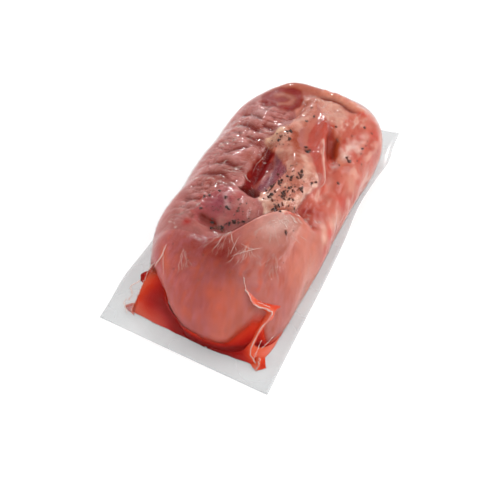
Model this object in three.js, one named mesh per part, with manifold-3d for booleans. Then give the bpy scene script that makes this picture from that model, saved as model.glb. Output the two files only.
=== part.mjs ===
// A whole salted beef tongue in a clear vacuum pack. The upper film is drawn tight on the meat, and at the
// front corners it stands out in folded gussets. The lower film is a flat sheet, sealed to it all round.
// Millimetres. X runs across the pack, Y along it with the smooth rounded end at -Y, and Z up from the table.
import * as THREE from "three";
import { ConvexGeometry } from "three/addons/geometries/ConvexGeometry.js";
import { mergeVertices } from "three/addons/utils/BufferGeometryUtils.js";
import Module from "manifold-3d";

// Driving dimensions of the pack
const FILM_WIDTH = 144;
const FILM_LENGTH = 297;
const FILM_THICKNESS = 0.8;
const TONGUE_WIDTH = 123;
const TONGUE_LENGTH = 259;
const TONGUE_CROWN = 59;
const SIDE_WIDEST = 21;
const FRONT_WIDEST = 6;
const CLEARANCE = 0.3;

// Where the tongue lies on the film, and how full its outlines are: 2 is an ellipse, more is squarer
const TONGUE_X = 2.5;
const TONGUE_Y = 0.5;
const PLAN_FULLNESS = 3.8;
const FRONT_LEFT_FULLNESS = 3;
const TOP_FULLNESS = 2.5;
const FRONT_STRETCH = 0.2;
const BACK_STRETCH = 0.36;

// Changes to the plain outline. A range gives where a change begins and where it is full.
const BASE_TUCK = { share: 0.05, along: [-0.9, -0.5] };
const FRONT_LEFT_SETBACK = { far: 14, x: [15, -60], y: [-40, -120] };
const BACK_LEFT_SETBACK = { far: 15, x: [-10, -62], y: [40, 120] };
const BACK_RIGHT_BULGE = { out: 5, x: [20, 60], y: 88, length: 34 };
const FRONT_LEAN = [-60, -110];
const RIGHT_DROP = { height: 4, x: [25, 60], front: [-45, -20], back: [110, 60] };
const FRONT_RISE = { height: 2, y: [-60, -110] };

// Heights over which the swell and the wrinkles come in, and the share of the rise over which the folds do
const GROUNDED_HEIGHT = 12;
const WRINKLES_LOW = { share: 0.25, z: [34, 52] };
const FOLDS_RISE = [0.1, 0.8];

// Grid of the tongue's skin: cells across, along and up
const CELLS_ACROSS = 32;
const CELLS_ALONG = 62;
const CELLS_UP = 11;

const BASE_HEIGHT = FILM_THICKNESS + CLEARANCE;
const HALF_WIDTH = TONGUE_WIDTH / 2;
const HALF_LENGTH = TONGUE_LENGTH / 2;

const blend = (low, high, value) => {
  const share = THREE.MathUtils.clamp((value - low) / (high - low), 0, 1);
  return share * share * (3 - 2 * share);
};
const hump = (value) => Math.exp(-value * value);

// A fold is a ridge or a groove that follows a curve in plan and fades out at its ends.
const FOLD_STEPS = 16;
const FOLD_FADE = 0.2;
const FOLD_END_SHARE = 0.35;
const fold = (points, width, height) => ({
  line: new THREE.SplineCurve(points.map(([x, y]) => new THREE.Vector2(x, y))).getPoints(FOLD_STEPS),
  width,
  height,
});

function foldHeight({ line, width, height }, x, y) {
  let nearest = Infinity;
  let share = 0;
  for (let i = 1; i < line.length; i++) {
    const [from, to] = [line[i - 1], line[i]];
    const [dx, dy] = [to.x - from.x, to.y - from.y];
    const along = THREE.MathUtils.clamp(((x - from.x) * dx + (y - from.y) * dy) / (dx * dx + dy * dy), 0, 1);
    const away = Math.hypot(x - from.x - along * dx, y - from.y - along * dy);
    if (away < nearest) {
      nearest = away;
      share = (i - 1 + along) / (line.length - 1);
    }
  }
  const ends = Math.min(blend(0, FOLD_FADE, share), blend(1, 1 - FOLD_FADE, share));
  return height * hump(nearest / width) * (FOLD_END_SHARE + (1 - FOLD_END_SHARE) * ends);
}

// The upper side's folds: the ridge of fat, the band of muscle beside it, and the grooves between them
const FAT_RIDGE = fold([[8, 92], [7, 62], [2, 42], [14, 22], [28, 2], [28, -26]], 11, 4.5);
const MUSCLE_BAND = fold([[20, 88], [30, 60], [38, 34], [46, 6]], 6, 4);
const DEEP_GROOVE = fold([[-3, 32], [-4, 10], [-2, -8], [2, -26]], 5, -9);
const MUSCLE_VALLEY = fold([[6, 24], [8, 6], [10, -8], [8, -24]], 8, -7);
const RIGHT_GROOVE = fold([[32, 70], [41, 46], [47, 22], [50, -4]], 6, -6);
const BACK_RIM = fold([[-30, 104], [-5, 110], [25, 109], [52, 100]], 9, 4);
const BACK_GROOVE = fold([[1, 94], [2, 76], [-2, 60]], 4, -4);
const FLAP_FOLD = fold([[-24, -62], [-10, -66], [4, -62]], 3.5, -3);
const SKIN_ROLL = fold([[-24, 66], [-25, 30], [-25, 0], [-27, -30]], 14, 3.5);
const FLAP_MOUND = fold([[-18, -40], [-2, -44], [12, -44]], 13, 3.5);
const TOP_FOLDS = [
  FAT_RIDGE, MUSCLE_BAND, DEEP_GROOVE, MUSCLE_VALLEY, RIGHT_GROOVE, BACK_RIM, BACK_GROOVE, FLAP_FOLD,
  SKIN_ROLL, FLAP_MOUND,
];

// Cross wrinkles of the skin along the left side: where each one lies, how it slants, and how deep it is
const WRINKLE_WIDTH = 3.2;
const WRINKLE_MIDDLE = -22.5;
const WRINKLE_ENDS = { x: [-1, -15], y: [-60, -40] };
const WRINKLES = [
  { y: 74, slant: -0.08, depth: 1.4 },
  { y: 57, slant: -0.1, depth: 2 },
  { y: 44, slant: 0.2, depth: 2.4 },
  { y: 30, slant: -0.15, depth: 1.6 },
  { y: 18, slant: 0.25, depth: 1.8 },
  { y: -3, slant: 0.5, depth: 2.4 },
  { y: -19, slant: 0.1, depth: 2.6 },
  { y: -33, slant: 0.3, depth: 1.5 },
  { y: -46, slant: 0.2, depth: 1.3 },
];

// The smooth front lump ends in a thick lip, whose edge swings back from left to right.
const LIP_START = -75;
const LIP_SWING = { back: 48, x: [-12, 44] };
const LIP_HOOK = { back: 6, x: [52, 66] };
const LIP_SLOPE = [90, 20];
const LIP_ROUND = 13;
const LIP_STEP = { height: 8, leftShare: 0.25, x: [-20, 30] };
const LIP_FADE = { share: 0.75, x: [46, 60] };
const LIP_DIP = 0.45;
const DIP_WIDTH = 7;
const lipEdge = (x) => LIP_START + LIP_SWING.back * blend(...LIP_SWING.x, x) + LIP_HOOK.back * blend(...LIP_HOOK.x, x);

function lipHeight(x, y) {
  const inFront = lipEdge(x) - y;
  const widening = LIP_STEP.leftShare + (1 - LIP_STEP.leftShare) * blend(...LIP_STEP.x, x);
  const step = LIP_STEP.height * widening * (1 - LIP_FADE.share * blend(...LIP_FADE.x, x));
  const dip = LIP_DIP * step;
  if (inFront <= 0) return -dip * hump(inFront / DIP_WIDTH);
  const rounded = Math.sin((Math.PI / 2) * Math.min(inFront / LIP_ROUND, 1));
  return (rounded * (step + dip) - dip) * blend(...LIP_SLOPE, inFront);
}

// The saddle between the front lump's two mounds, which runs on down its front
const SADDLE = { x: -4, y: -88, width: 19, length: 30, depth: 5 };
const saddleHeight = (x, y) =>
  -SADDLE.depth * hump((x - SADDLE.x) / SADDLE.width) * hump((y - SADDLE.y) / SADDLE.length);

// Slow unevenness of the meat: two heights, each with its own wave lengths along X, Y and Z
const LONG_SWELL = 0.9;
const SHORT_SWELL = 0.5;
const swell = (x, y, z) =>
  LONG_SWELL * Math.sin(x / 13 + y / 29 + 1.3) * Math.sin(y / 17 - z / 23) +
  SHORT_SWELL * Math.sin(x / 7 - y / 9 + z / 11);

function wrinkleDepth(x, y) {
  let depth = 0;
  for (const wrinkle of WRINKLES) {
    const off = y - wrinkle.y - wrinkle.slant * (x - WRINKLE_MIDDLE);
    depth += wrinkle.depth * hump(off / WRINKLE_WIDTH);
  }
  return depth * blend(...WRINKLE_ENDS.x, x) * blend(...WRINKLE_ENDS.y, y);
}

// The tongue is widest low on its sides, and lowest of all on its front, which leans back.
const widestHeight = (y) => THREE.MathUtils.lerp(SIDE_WIDEST, FRONT_WIDEST, blend(...FRONT_LEAN, y));

// The height of the crown before its folds: lower along the right side and towards the far end
const crownHeight = (x, y) =>
  TONGUE_CROWN -
  RIGHT_DROP.height * blend(...RIGHT_DROP.x, x) * blend(...RIGHT_DROP.front, y) * blend(...RIGHT_DROP.back, y) +
  FRONT_RISE.height * blend(...FRONT_RISE.y, y);

const foldsHeight = (x, y) =>
  TOP_FOLDS.reduce((sum, each) => sum + foldHeight(each, x, y), 0) + lipHeight(x, y) + saddleHeight(x, y);

// The plan outline is rounder at the front left corner than at the other three.
function planReach(a, b) {
  const fullness = a < 0 && b < 0 ? FRONT_LEFT_FULLNESS : PLAN_FULLNESS;
  return (Math.abs(a) ** fullness + Math.abs(b) ** fullness) ** (1 / fullness);
}

// One point of a box with sides of -1 to 1 goes to its place on the tongue's skin.
function skinPoint(a, b, c) {
  const plan = planReach(a, b);
  const above = Math.max(c, 0);
  const full = (plan ** TOP_FULLNESS + above ** TOP_FULLNESS) ** (1 / TOP_FULLNESS);
  const rise = above / full;
  const tuck = 1 - BASE_TUCK.share * Math.min(c, 0) ** 2 * blend(...BASE_TUCK.along, b);
  const along = (b * tuck) / full;
  const stretch = b < 0 ? FRONT_STRETCH : BACK_STRETCH;
  const straightY = TONGUE_Y + HALF_LENGTH * along * (1 + stretch * (1 - along * along));
  const straightX = TONGUE_X + (HALF_WIDTH * a * tuck) / full;
  const bulged = hump((straightY - BACK_RIGHT_BULGE.y) / BACK_RIGHT_BULGE.length);
  const x = straightX + BACK_RIGHT_BULGE.out * blend(...BACK_RIGHT_BULGE.x, straightX) * bulged;
  const setBack = ({ far, x: fromX, y: fromY }) => far * blend(...fromX, x) * blend(...fromY, straightY);
  const y = straightY + setBack(FRONT_LEFT_SETBACK) - setBack(BACK_LEFT_SETBACK);
  const widest = widestHeight(y);
  const level = c < 0 ? widest + (widest - BASE_HEIGHT) * c : widest + (crownHeight(x, y) - widest) * rise;
  const out = new THREE.Vector3(
    (Math.sign(a) * Math.abs(a / full) ** (PLAN_FULLNESS - 1)) / HALF_WIDTH,
    (Math.sign(b) * Math.abs(b / full) ** (PLAN_FULLNESS - 1)) / HALF_LENGTH,
    rise ** (TOP_FULLNESS - 1) / (TONGUE_CROWN - widest),
  ).normalize();
  const grounded = blend(BASE_HEIGHT, BASE_HEIGHT + GROUNDED_HEIGHT, level);
  const wrinkled = WRINKLES_LOW.share + (1 - WRINKLES_LOW.share) * blend(...WRINKLES_LOW.z, level);
  const bulge = (swell(x, y, level) - wrinkleDepth(x, y) * wrinkled) * grounded;
  const folded = foldsHeight(x, y) * blend(...FOLDS_RISE, rise);
  return new THREE.Vector3(x, y, level).addScaledVector(out, bulge + folded);
}

// The top and the four sides of a box as a grid, with a flat bottom, drawn out to the skin
function tongueSkin() {
  const cells = [CELLS_ACROSS, CELLS_ALONG, CELLS_UP];
  const positions = [];
  const faces = [];
  const numbers = new Map();
  const vertex = (...at) => {
    const key = at.join();
    if (!numbers.has(key)) {
      numbers.set(key, positions.length / 3);
      positions.push(...skinPoint(...at.map((step, axis) => (2 * step) / cells[axis] - 1)).toArray());
    }
    return numbers.get(key);
  };
  const quad = (p, q, r, s) => faces.push(p, q, r, p, r, s);
  for (let i = 0; i < CELLS_ACROSS; i++) {
    for (let j = 0; j < CELLS_ALONG; j++) {
      const corner = (di, dj) => vertex(i + di, j + dj, CELLS_UP);
      quad(corner(0, 0), corner(1, 0), corner(1, 1), corner(0, 1));
    }
  }
  const rim = [];
  for (let i = 0; i < CELLS_ACROSS; i++) rim.push([i, 0]);
  for (let j = 0; j < CELLS_ALONG; j++) rim.push([CELLS_ACROSS, j]);
  for (let i = CELLS_ACROSS; i > 0; i--) rim.push([i, CELLS_ALONG]);
  for (let j = CELLS_ALONG; j > 0; j--) rim.push([0, j]);
  const middle = positions.length / 3;
  positions.push(TONGUE_X, TONGUE_Y, BASE_HEIGHT);
  rim.forEach((here, index) => {
    const next = rim[(index + 1) % rim.length];
    for (let k = 0; k < CELLS_UP; k++) {
      quad(vertex(...here, k), vertex(...next, k), vertex(...next, k + 1), vertex(...here, k + 1));
    }
    faces.push(vertex(...next, 0), vertex(...here, 0), middle);
  });
  const geometry = new THREE.BufferGeometry();
  geometry.setAttribute("position", new THREE.Float32BufferAttribute(positions, 3));
  geometry.setIndex(faces);
  return geometry;
}

// A gusset is film that the pack's corner had to spare. It stands out from the meat to a free edge, and juice
// has run in behind it. Each stop down its edge has a place there, and one on the meat to either side.
const FOOT = BASE_HEIGHT;
const LEFT_GUSSET = [
  { edge: [-35, -95, 39], sides: [[-36, -90, 34], [-28, -96, 38]] },
  { edge: [-45, -103, 22], sides: [[-46, -92, 22], [-30, -103, 26]] },
  { edge: [-48, -116, 9], sides: [[-45, -94, 10], [-12, -118, 12]] },
  { edge: [-49, -126, FOOT], sides: [[-46, -96, FOOT], [14, -130, FOOT]] },
];
const RIGHT_GUSSET = [
  { edge: [29, -97, 53], sides: [[26, -90, 48], [34, -92, 48]] },
  { edge: [44, -110.5, 41.5], sides: [[36, -102, 36], [48, -98, 38]] },
  { edge: [51, -109, 32], sides: [[42, -104, 28], [57, -94, 28]] },
  { edge: [49.5, -118, 25], sides: [[40, -110, 20], [60, -92, 20]] },
  { edge: [46.5, -126, 10], sides: [[30, -120, 8], [63, -94, 8]] },
  { edge: [54, -131, FOOT], sides: [[14, -130, FOOT], [62, -106, FOOT]] },
];
const BACK_LEFT_GUSSET = [
  { edge: [-42, 112, 34], sides: [[-44, 100, 30], [-30, 112, 30]] },
  { edge: [-48, 118, 18], sides: [[-52, 98, 18], [-28, 118, 18]] },
  { edge: [-51, 125, FOOT], sides: [[-54, 98, FOOT], [-24, 124, FOOT]] },
];
const BACK_RIGHT_GUSSET = [
  { edge: [50, 119, 26], sides: [[56, 108, 24], [36, 118, 24]] },
  { edge: [54, 125, 14], sides: [[60, 104, 14], [32, 122, 14]] },
  { edge: [57, 132, FOOT], sides: [[61, 102, FOOT], [26, 127, FOOT]] },
];
const GUSSETS = [LEFT_GUSSET, RIGHT_GUSSET, BACK_LEFT_GUSSET, BACK_RIGHT_GUSSET];

function gussetWebs(stops) {
  const places = ({ edge, sides }) => [edge, ...sides].map((place) => new THREE.Vector3(...place));
  return stops.slice(1).map((stop, index) => new ConvexGeometry([...places(stops[index]), ...places(stop)]));
}

// Crushed black pepper lies under the film on the fat and along the front of the flap.
const PEPPER_SEED = 7;
const PEPPER_BEDS = [
  { x: 28, y: -12, reachX: 12, reachY: 24, grains: 24 },
  { x: 2, y: 44, reachX: 7, reachY: 9, grains: 6 },
  { x: 24, y: 36, reachX: 3, reachY: 3, grains: 3 },
  { x: -4, y: -56, reachX: 15, reachY: 12, grains: 9 },
];
const SMALLEST_GRAIN = 0.96;
const GRAIN_SPREAD = 0.96;
const GRAIN_FLATNESS = [1, 0.8, 0.7];
const PEPPER_SINK = 0.35;

// A plain repeatable draw of numbers from 0 to 1
const DRAW_FACTOR = 16807;
const DRAW_CYCLE = 2147483647;

function seededDraw(seed) {
  let state = seed;
  return () => {
    state = (state * DRAW_FACTOR) % DRAW_CYCLE;
    return state / DRAW_CYCLE;
  };
}

// The skin's height over a place in plan, away from the rim
function topHeight(x, y) {
  const plan = planReach((x - TONGUE_X) / HALF_WIDTH, (y - TONGUE_Y) / HALF_LENGTH);
  const rise = (1 - plan ** TOP_FULLNESS) ** (1 / TOP_FULLNESS);
  const widest = widestHeight(y);
  return widest + (crownHeight(x, y) - widest) * rise + foldsHeight(x, y) + swell(x, y, TONGUE_CROWN);
}

function pepperGrains() {
  const draw = seededDraw(PEPPER_SEED);
  return PEPPER_BEDS.flatMap((bed) =>
    Array.from({ length: bed.grains }, () => {
      const [turn, reach] = [2 * Math.PI * draw(), Math.sqrt(draw())];
      const [x, y] = [bed.x + bed.reachX * reach * Math.cos(turn), bed.y + bed.reachY * reach * Math.sin(turn)];
      const radius = SMALLEST_GRAIN + GRAIN_SPREAD * draw();
      const grain = new THREE.IcosahedronGeometry(radius, 0);
      grain.rotateZ(turn).scale(...GRAIN_FLATNESS);
      return grain.translate(x, y, topHeight(x, y) + radius * PEPPER_SINK);
    }),
  );
}

// Joining
const MERGE_DISTANCE = 1e-4;
const wasm = await Module();
wasm.setup();

function solidOf(geometry) {
  const bare = geometry.clone();
  bare.deleteAttribute("normal");
  bare.deleteAttribute("uv");
  const merged = mergeVertices(bare, MERGE_DISTANCE);
  return new wasm.Manifold(
    new wasm.Mesh({
      numProp: 3,
      vertProperties: new Float32Array(merged.attributes.position.array),
      triVerts: new Uint32Array(merged.index.array),
    }),
  );
}

function geometryOf(solid) {
  const mesh = solid.getMesh();
  const geometry = new THREE.BufferGeometry();
  const positions = [];
  for (let i = 0; i < mesh.numVert; i++) {
    positions.push(...mesh.vertProperties.slice(i * mesh.numProp, i * mesh.numProp + 3));
  }
  geometry.setAttribute("position", new THREE.Float32BufferAttribute(positions, 3));
  geometry.setIndex([...mesh.triVerts]);
  geometry.computeVertexNormals();
  return geometry;
}

const fuse = (pieces) => pieces.map(solidOf).reduce((whole, piece) => whole.add(piece));

// The flat film: its right edge waves, its ends are cut a little askew, and its corners are lightly rounded.
const FRONT_SKEW = 13;
const BACK_SKEW = 18;
const EDGE_INSET = 3;
const RIGHT_WAVES = [{ y: 108, length: 16, out: 3 }, { y: 48, length: 30, out: -3 }];
const LEFT_WAVES = [{ y: -96, length: 22, out: 2 }];
const LIFT = 2.2;
const LIFT_GAP = 3;
const LIFT_WAVE = 19;

// Rows along the sheet, and where its columns lie across it: close together where the edges lift
const SHEET_ROWS = 30;
const SHEET_COLUMNS = [0, 0.035, 0.07, 0.5, 0.93, 0.965, 1];

function filmEdge(side, share) {
  const front = -FILM_LENGTH / 2 + (side < 0 ? FRONT_SKEW : 0);
  const back = FILM_LENGTH / 2 - (side < 0 ? BACK_SKEW : 0);
  const y = THREE.MathUtils.lerp(front, back, share);
  const waves = side > 0 ? RIGHT_WAVES : LEFT_WAVES;
  const wave = waves.reduce((sum, each) => sum + each.out * hump((y - each.y) / each.length), 0);
  return [side * (FILM_WIDTH / 2 - EDGE_INSET + wave), y];
}

// The film's edge lifts off the table in long waves, and lies flat under the tongue.
function filmLift(x, y) {
  const out = blend(HALF_WIDTH + LIFT_GAP, FILM_WIDTH / 2, Math.abs(x));
  return LIFT * out * (0.5 + 0.5 * Math.sin(y / LIFT_WAVE + Math.sign(x)));
}

function filmSheet() {
  const rows = Array.from({ length: SHEET_ROWS + 1 }, (_, step) => {
    const share = step / SHEET_ROWS;
    const [[leftX, leftY], [rightX, rightY]] = [filmEdge(-1, share), filmEdge(1, share)];
    return SHEET_COLUMNS.map((across) => [
      THREE.MathUtils.lerp(leftX, rightX, across),
      THREE.MathUtils.lerp(leftY, rightY, across),
    ]);
  });
  const columnCount = SHEET_COLUMNS.length;
  const layer = rows.length * columnCount;
  const positions = [0, FILM_THICKNESS].flatMap((level) =>
    rows.flatMap((row) => row.flatMap(([x, y]) => [x, y, level + filmLift(x, y)])),
  );
  const at = (row, column, top) => (top ? layer : 0) + row * columnCount + column;
  const faces = [];
  const quad = (p, q, r, s) => faces.push(p, q, r, p, r, s);
  for (let row = 0; row < SHEET_ROWS; row++) {
    for (let column = 0; column < columnCount - 1; column++) {
      quad(at(row, column, true), at(row, column + 1, true), at(row + 1, column + 1, true), at(row + 1, column, true));
      quad(at(row, column), at(row + 1, column), at(row + 1, column + 1), at(row, column + 1));
    }
    quad(at(row, 0, true), at(row + 1, 0, true), at(row + 1, 0), at(row, 0));
    const last = columnCount - 1;
    quad(at(row, last), at(row + 1, last), at(row + 1, last, true), at(row, last, true));
  }
  for (let column = 0; column < columnCount - 1; column++) {
    quad(at(0, column), at(0, column + 1), at(0, column + 1, true), at(0, column, true));
    quad(
      at(SHEET_ROWS, column, true), at(SHEET_ROWS, column + 1, true), at(SHEET_ROWS, column + 1), at(SHEET_ROWS, column),
    );
  }
  const geometry = new THREE.BufferGeometry();
  geometry.setAttribute("position", new THREE.Float32BufferAttribute(positions, 3));
  geometry.setIndex(faces);
  geometry.computeVertexNormals();
  return geometry;
}

const tongue = new THREE.Mesh(
  geometryOf(fuse([tongueSkin(), ...GUSSETS.flatMap(gussetWebs), ...pepperGrains()])),
  new THREE.MeshStandardMaterial({ color: 0xc4665c, roughness: 0.3, metalness: 0 }),
);
tongue.name = "tongue";

const film = new THREE.Mesh(
  filmSheet(),
  new THREE.MeshStandardMaterial({ color: 0xdfe3e4, roughness: 0.15, metalness: 0, transparent: true, opacity: 0.4 }),
);
film.name = "film";

const pack = new THREE.Group();
pack.add(tongue, film);

export default pack;
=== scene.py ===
# A whole salted beef tongue in a clear vacuum pack: the cured meat with its pepper and juice, the upper film
# drawn tight on it, and the flat lower film that it is sealed to. Places are in millimetres, as in the packed
# model: X across the pack, Y along it with the smooth end at -Y, and Z up. Meshes are made in metres.
import itertools
import math

import bmesh
import bpy
import numpy as np
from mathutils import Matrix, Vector
from mathutils.bvhtree import BVHTree


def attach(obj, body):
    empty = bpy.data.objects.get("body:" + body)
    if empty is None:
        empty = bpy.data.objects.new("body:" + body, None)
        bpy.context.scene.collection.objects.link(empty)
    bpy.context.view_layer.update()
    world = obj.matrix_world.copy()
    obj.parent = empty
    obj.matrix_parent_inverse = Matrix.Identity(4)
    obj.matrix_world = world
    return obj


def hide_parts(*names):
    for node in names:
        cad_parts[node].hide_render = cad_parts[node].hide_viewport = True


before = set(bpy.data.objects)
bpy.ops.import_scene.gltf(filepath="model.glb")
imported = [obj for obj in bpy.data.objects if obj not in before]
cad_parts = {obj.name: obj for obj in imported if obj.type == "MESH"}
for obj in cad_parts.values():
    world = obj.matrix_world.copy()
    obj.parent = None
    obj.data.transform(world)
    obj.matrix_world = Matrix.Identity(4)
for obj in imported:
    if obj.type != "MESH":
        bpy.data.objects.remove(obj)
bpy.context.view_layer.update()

# The meat
# A whole ox tongue, cured pink and pressed into a loaf. Its smooth end lies at the front and is lapped
# back in a thick lip. Behind the lip lie wrinkled skin on the left, bare muscle in the middle and a ridge
# of fat.
WIDTH, LENGTH, CROWN = 123, 259, 59
SIDE_WIDEST, FRONT_WIDEST, BASE_HEIGHT = 21, 6, 1.1
MEAT_X, MEAT_Y = 2.5, 0.5
PLAN_FULLNESS, FRONT_LEFT_FULLNESS, TOP_FULLNESS = 3.8, 3, 2.5
FRONT_STRETCH, BACK_STRETCH, BASE_TUCK = 0.2, 0.36, 0.05
FRONT_LEFT_SETBACK, BACK_LEFT_SETBACK, BACK_RIGHT_BULGE, RIGHT_DROP, FRONT_RISE = 14, 15, 5, 4, 2
LONG_SWELL, SHORT_SWELL, GROUNDED_HEIGHT, FOLDS_RISE = 0.9, 0.5, 12, (0.1, 0.8)
FOLD_FADE, FOLD_END_SHARE, CREASE_FADE, CREASE_SHARP_SHARE = 0.2, 0.35, 0.3, 0.6
CELLS_ACROSS, CELLS_ALONG, CELLS_UP = 144, 300, 28

# Broad folds of the upper side: a line in plan, a width and a height, which is below 0 for a groove
FAT_RIDGE = ([(8, 92), (7, 62), (2, 42), (14, 22), (28, 2), (28, -26)], 11, 4.5)
MUSCLE_BAND = ([(20, 88), (30, 60), (38, 34), (46, 6)], 6, 4)
DEEP_GROOVE = ([(-3, 32), (-4, 10), (-2, -8), (2, -26)], 5, -9)
MUSCLE_VALLEY = ([(6, 24), (8, 6), (10, -8), (8, -24)], 8, -7)
RIGHT_GROOVE = ([(32, 70), (41, 46), (47, 22), (50, -4)], 6, -6)
BACK_RIM = ([(-30, 104), (-5, 110), (25, 109), (52, 100)], 9, 4)
BACK_GROOVE = ([(1, 94), (2, 76), (-2, 60)], 4, -4)
FLAP_FOLD = ([(-24, -62), (-10, -66), (4, -62)], 3.5, -3)
SKIN_ROLL = ([(-24, 66), (-25, 30), (-25, 0), (-27, -30)], 14, 3.5)
FLAP_MOUND = ([(-18, -40), (-2, -44), (12, -44)], 13, 3.5)
BROAD_FOLDS = [
    FAT_RIDGE, MUSCLE_BAND, DEEP_GROOVE, MUSCLE_VALLEY, RIGHT_GROOVE, BACK_RIM, BACK_GROOVE, FLAP_FOLD,
    SKIN_ROLL, FLAP_MOUND,
]

# Sharp creases of the skin on the left side, under the tight film: a line in plan, a width and a depth
SKIN_CREASES = [
    ([(-46, 60), (-41, 61), (-33, 59), (-25, 54), (-18, 50)], 1.7, 2.6),
    ([(-44, 47), (-39, 46), (-29, 42), (-20, 39), (-12, 40)], 1.8, 3.2),
    ([(-20, 46), (-13, 45), (-6, 40)], 1.5, 2.2),
    ([(-42, 36), (-34, 33), (-29, 33)], 1.3, 1.2),
    ([(-25, 31), (-19, 29), (-9, 32)], 1.5, 2.0),
    ([(-23, 25), (-14, 23), (-8, 26)], 1.4, 1.8),
    ([(-38, 6), (-34, 8), (-29, 11), (-25, 14), (-19, 17), (-15, 17)], 1.8, 3.0),
    ([(-47, -4), (-34, -5), (-29, -4), (-22, -6), (-16, -7), (-10, -4)], 1.8, 3.2),
    ([(-47, -17), (-38, -17), (-32, -18), (-28, -17), (-22, -18), (-15, -22)], 2.0, 3.2),
    ([(-45, -32), (-40, -30), (-33, -30)], 1.3, 1.6),
    ([(-41, -37), (-37, -36), (-31, -35)], 1.1, 1.0),
    ([(-46, -42), (-39, -44), (-32, -44), (-27, -44)], 1.2, 1.7),
    ([(-48, -47), (-42, -46), (-37, -47)], 1.1, 0.9),
    ([(-44, -53), (-36, -54), (-30, -52)], 1.0, 0.7),
    ([(-46, -60), (-38, -61), (-31, -59)], 1.0, 0.7),
    ([(-37, 79), (-32, 78), (-27, 79)], 1.2, 1.3),
    ([(-33, 75), (-28, 74), (-20, 70)], 1.3, 1.8),
    ([(-29, 81), (-21, 76), (-16, 74)], 1.2, 1.4),
    ([(-28, 68), (-21, 66)], 1.1, 1.0),
]

# The lip's edge swings back from left to right; the saddle is the hollow between its two mounds.
LIP_START, LIP_SWING, LIP_HOOK, LIP_SLOPE = -75, 48, 6, (90, 20)
LIP_ROUND, LIP_STEP, LIP_LEFT_SHARE, LIP_DIP, DIP_WIDTH, LIP_FADE = 13, 8, 0.25, 0.45, 7, 0.75
SADDLE_X, SADDLE_Y, SADDLE_WIDTH, SADDLE_LENGTH, SADDLE_DEPTH = -4, -88, 19, 30, 5

# Outlines in plan of the different tissues of the upper side
FAT = [
    (-2, 98), (-1, 84), (-2, 72), (1, 64), (3, 55), (0, 47), (-5, 46), (-5, 39), (-10, 32), (-8, 28),
    (-3, 27), (1, 24), (5, 20), (10, 17), (15, 11), (19, 6), (20, 0), (17, -6), (13, -9), (11, -16),
    (10, -25), (12, -32), (17, -37), (22, -42), (28, -40), (34, -43), (37, -36), (38, -25), (40, -15),
    (41, -4), (43, 6), (43, 12), (38, 15), (34, 21), (29, 27), (24, 31), (18, 34), (14, 38), (13, 45),
    (12, 50), (14, 57), (14, 66), (15, 80), (11, 89), (9, 98),
]
PINK_BAND = [
    (19, 66), (18, 49), (21, 41), (30, 28), (35, 20), (40, 13), (46, 20), (43, 29), (39, 38), (36, 46),
    (34, 55), (31, 64), (25, 72),
]
RAW_MEAT = [
    (8, 116), (80, 116), (90, -50), (60, -30), (36, -44), (40, -15), (43, 6), (46, 20), (42, 29), (39, 40),
    (37, 50), (35, 58), (33, 67), (24, 76), (10, 92),
]
LIGHT_PATCH = [(2, 101), (20, 104), (33, 99), (38, 88), (34, 76), (27, 71), (20, 76), (14, 87)]
BACK_LUMP = [
    (-34, 76), (-21, 72), (-14, 71), (-6, 71), (-2, 76), (-1, 84), (-2, 93), (-8, 104), (-26, 104),
    (-38, 92),
]
RED_STRIP = [
    (-5, 31), (3, 27), (4, 18), (7, 10), (5, 2), (3, -6), (2, -14), (-5, -20), (-8, -10), (-9, 4), (-8, 18),
]
PURPLE_STRIP = [
    (3, 21), (9, 19), (14, 13), (19, 6), (19, 1), (15, -6), (12, -10), (9, -18), (3, -16), (4, -6), (7, 2),
    (6, 10),
]
POCKET = [(-8, -25), (-5, -18), (1, -15), (7, -19), (11, -27), (8, -32), (0, -28)]
FLAP = [
    (-22, -28), (-13, -27), (-4, -29), (2, -31), (10, -36), (17, -43), (19, -52), (11, -57), (4, -61),
    (-6, -66), (-14, -68), (-26, -66), (-28, -55), (-27, -46), (-24, -38), (-21, -34),
]


def blend(low, high, value):
    """0 at low and 1 at high, with a soft start and end."""
    share = np.clip((value - low) / (high - low), 0, 1)
    return share * share * (3 - 2 * share)


def hump(value):
    return np.exp(-value * value)


def smooth_line(points, steps=16):
    """A smooth line through the points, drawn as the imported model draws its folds."""
    points = np.array(points, float)
    last = len(points) - 1
    along = np.linspace(0, last, steps + 1)
    start = along.astype(int)
    part = (along - start)[:, None]
    before, here, after, beyond = (points[np.clip(start + step, 0, last)] for step in (-1, 0, 1, 2))
    leave, arrive = (after - before) / 2, (beyond - here) / 2
    bend = 2 * here - 2 * after + leave + arrive
    swing = -3 * here + 3 * after - 2 * leave - arrive
    return ((bend * part + swing) * part + leave) * part + here


def beside(x, y, line):
    """How far each place lies from a line in plan, and its share of the way along it."""
    start, step = line[:-1], np.diff(line, axis=0)
    off_x, off_y = x[:, None] - start[:, 0], y[:, None] - start[:, 1]
    along = np.clip((off_x * step[:, 0] + off_y * step[:, 1]) / (step**2).sum(1), 0, 1)
    away = np.hypot(off_x - along * step[:, 0], off_y - along * step[:, 1])
    nearest = away.argmin(1)
    rows = np.arange(len(x))
    return away[rows, nearest], (nearest + along[rows, nearest]) / len(step)


def fold(x, y, points, width, height):
    away, share = beside(x, y, smooth_line(points))
    ends = np.minimum(blend(0, FOLD_FADE, share), blend(1, 1 - FOLD_FADE, share))
    return height * hump(away / width) * (FOLD_END_SHARE + (1 - FOLD_END_SHARE) * ends)


def crease(x, y, points, width, depth):
    away, share = beside(x, y, smooth_line(points))
    ends = np.minimum(blend(0, CREASE_FADE, share), blend(1, 1 - CREASE_FADE, share))
    soft = (1 - CREASE_SHARP_SHARE) * hump(away / (3 * width))
    return -depth * (CREASE_SHARP_SHARE * np.exp(-away / width) + soft) * ends


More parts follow.
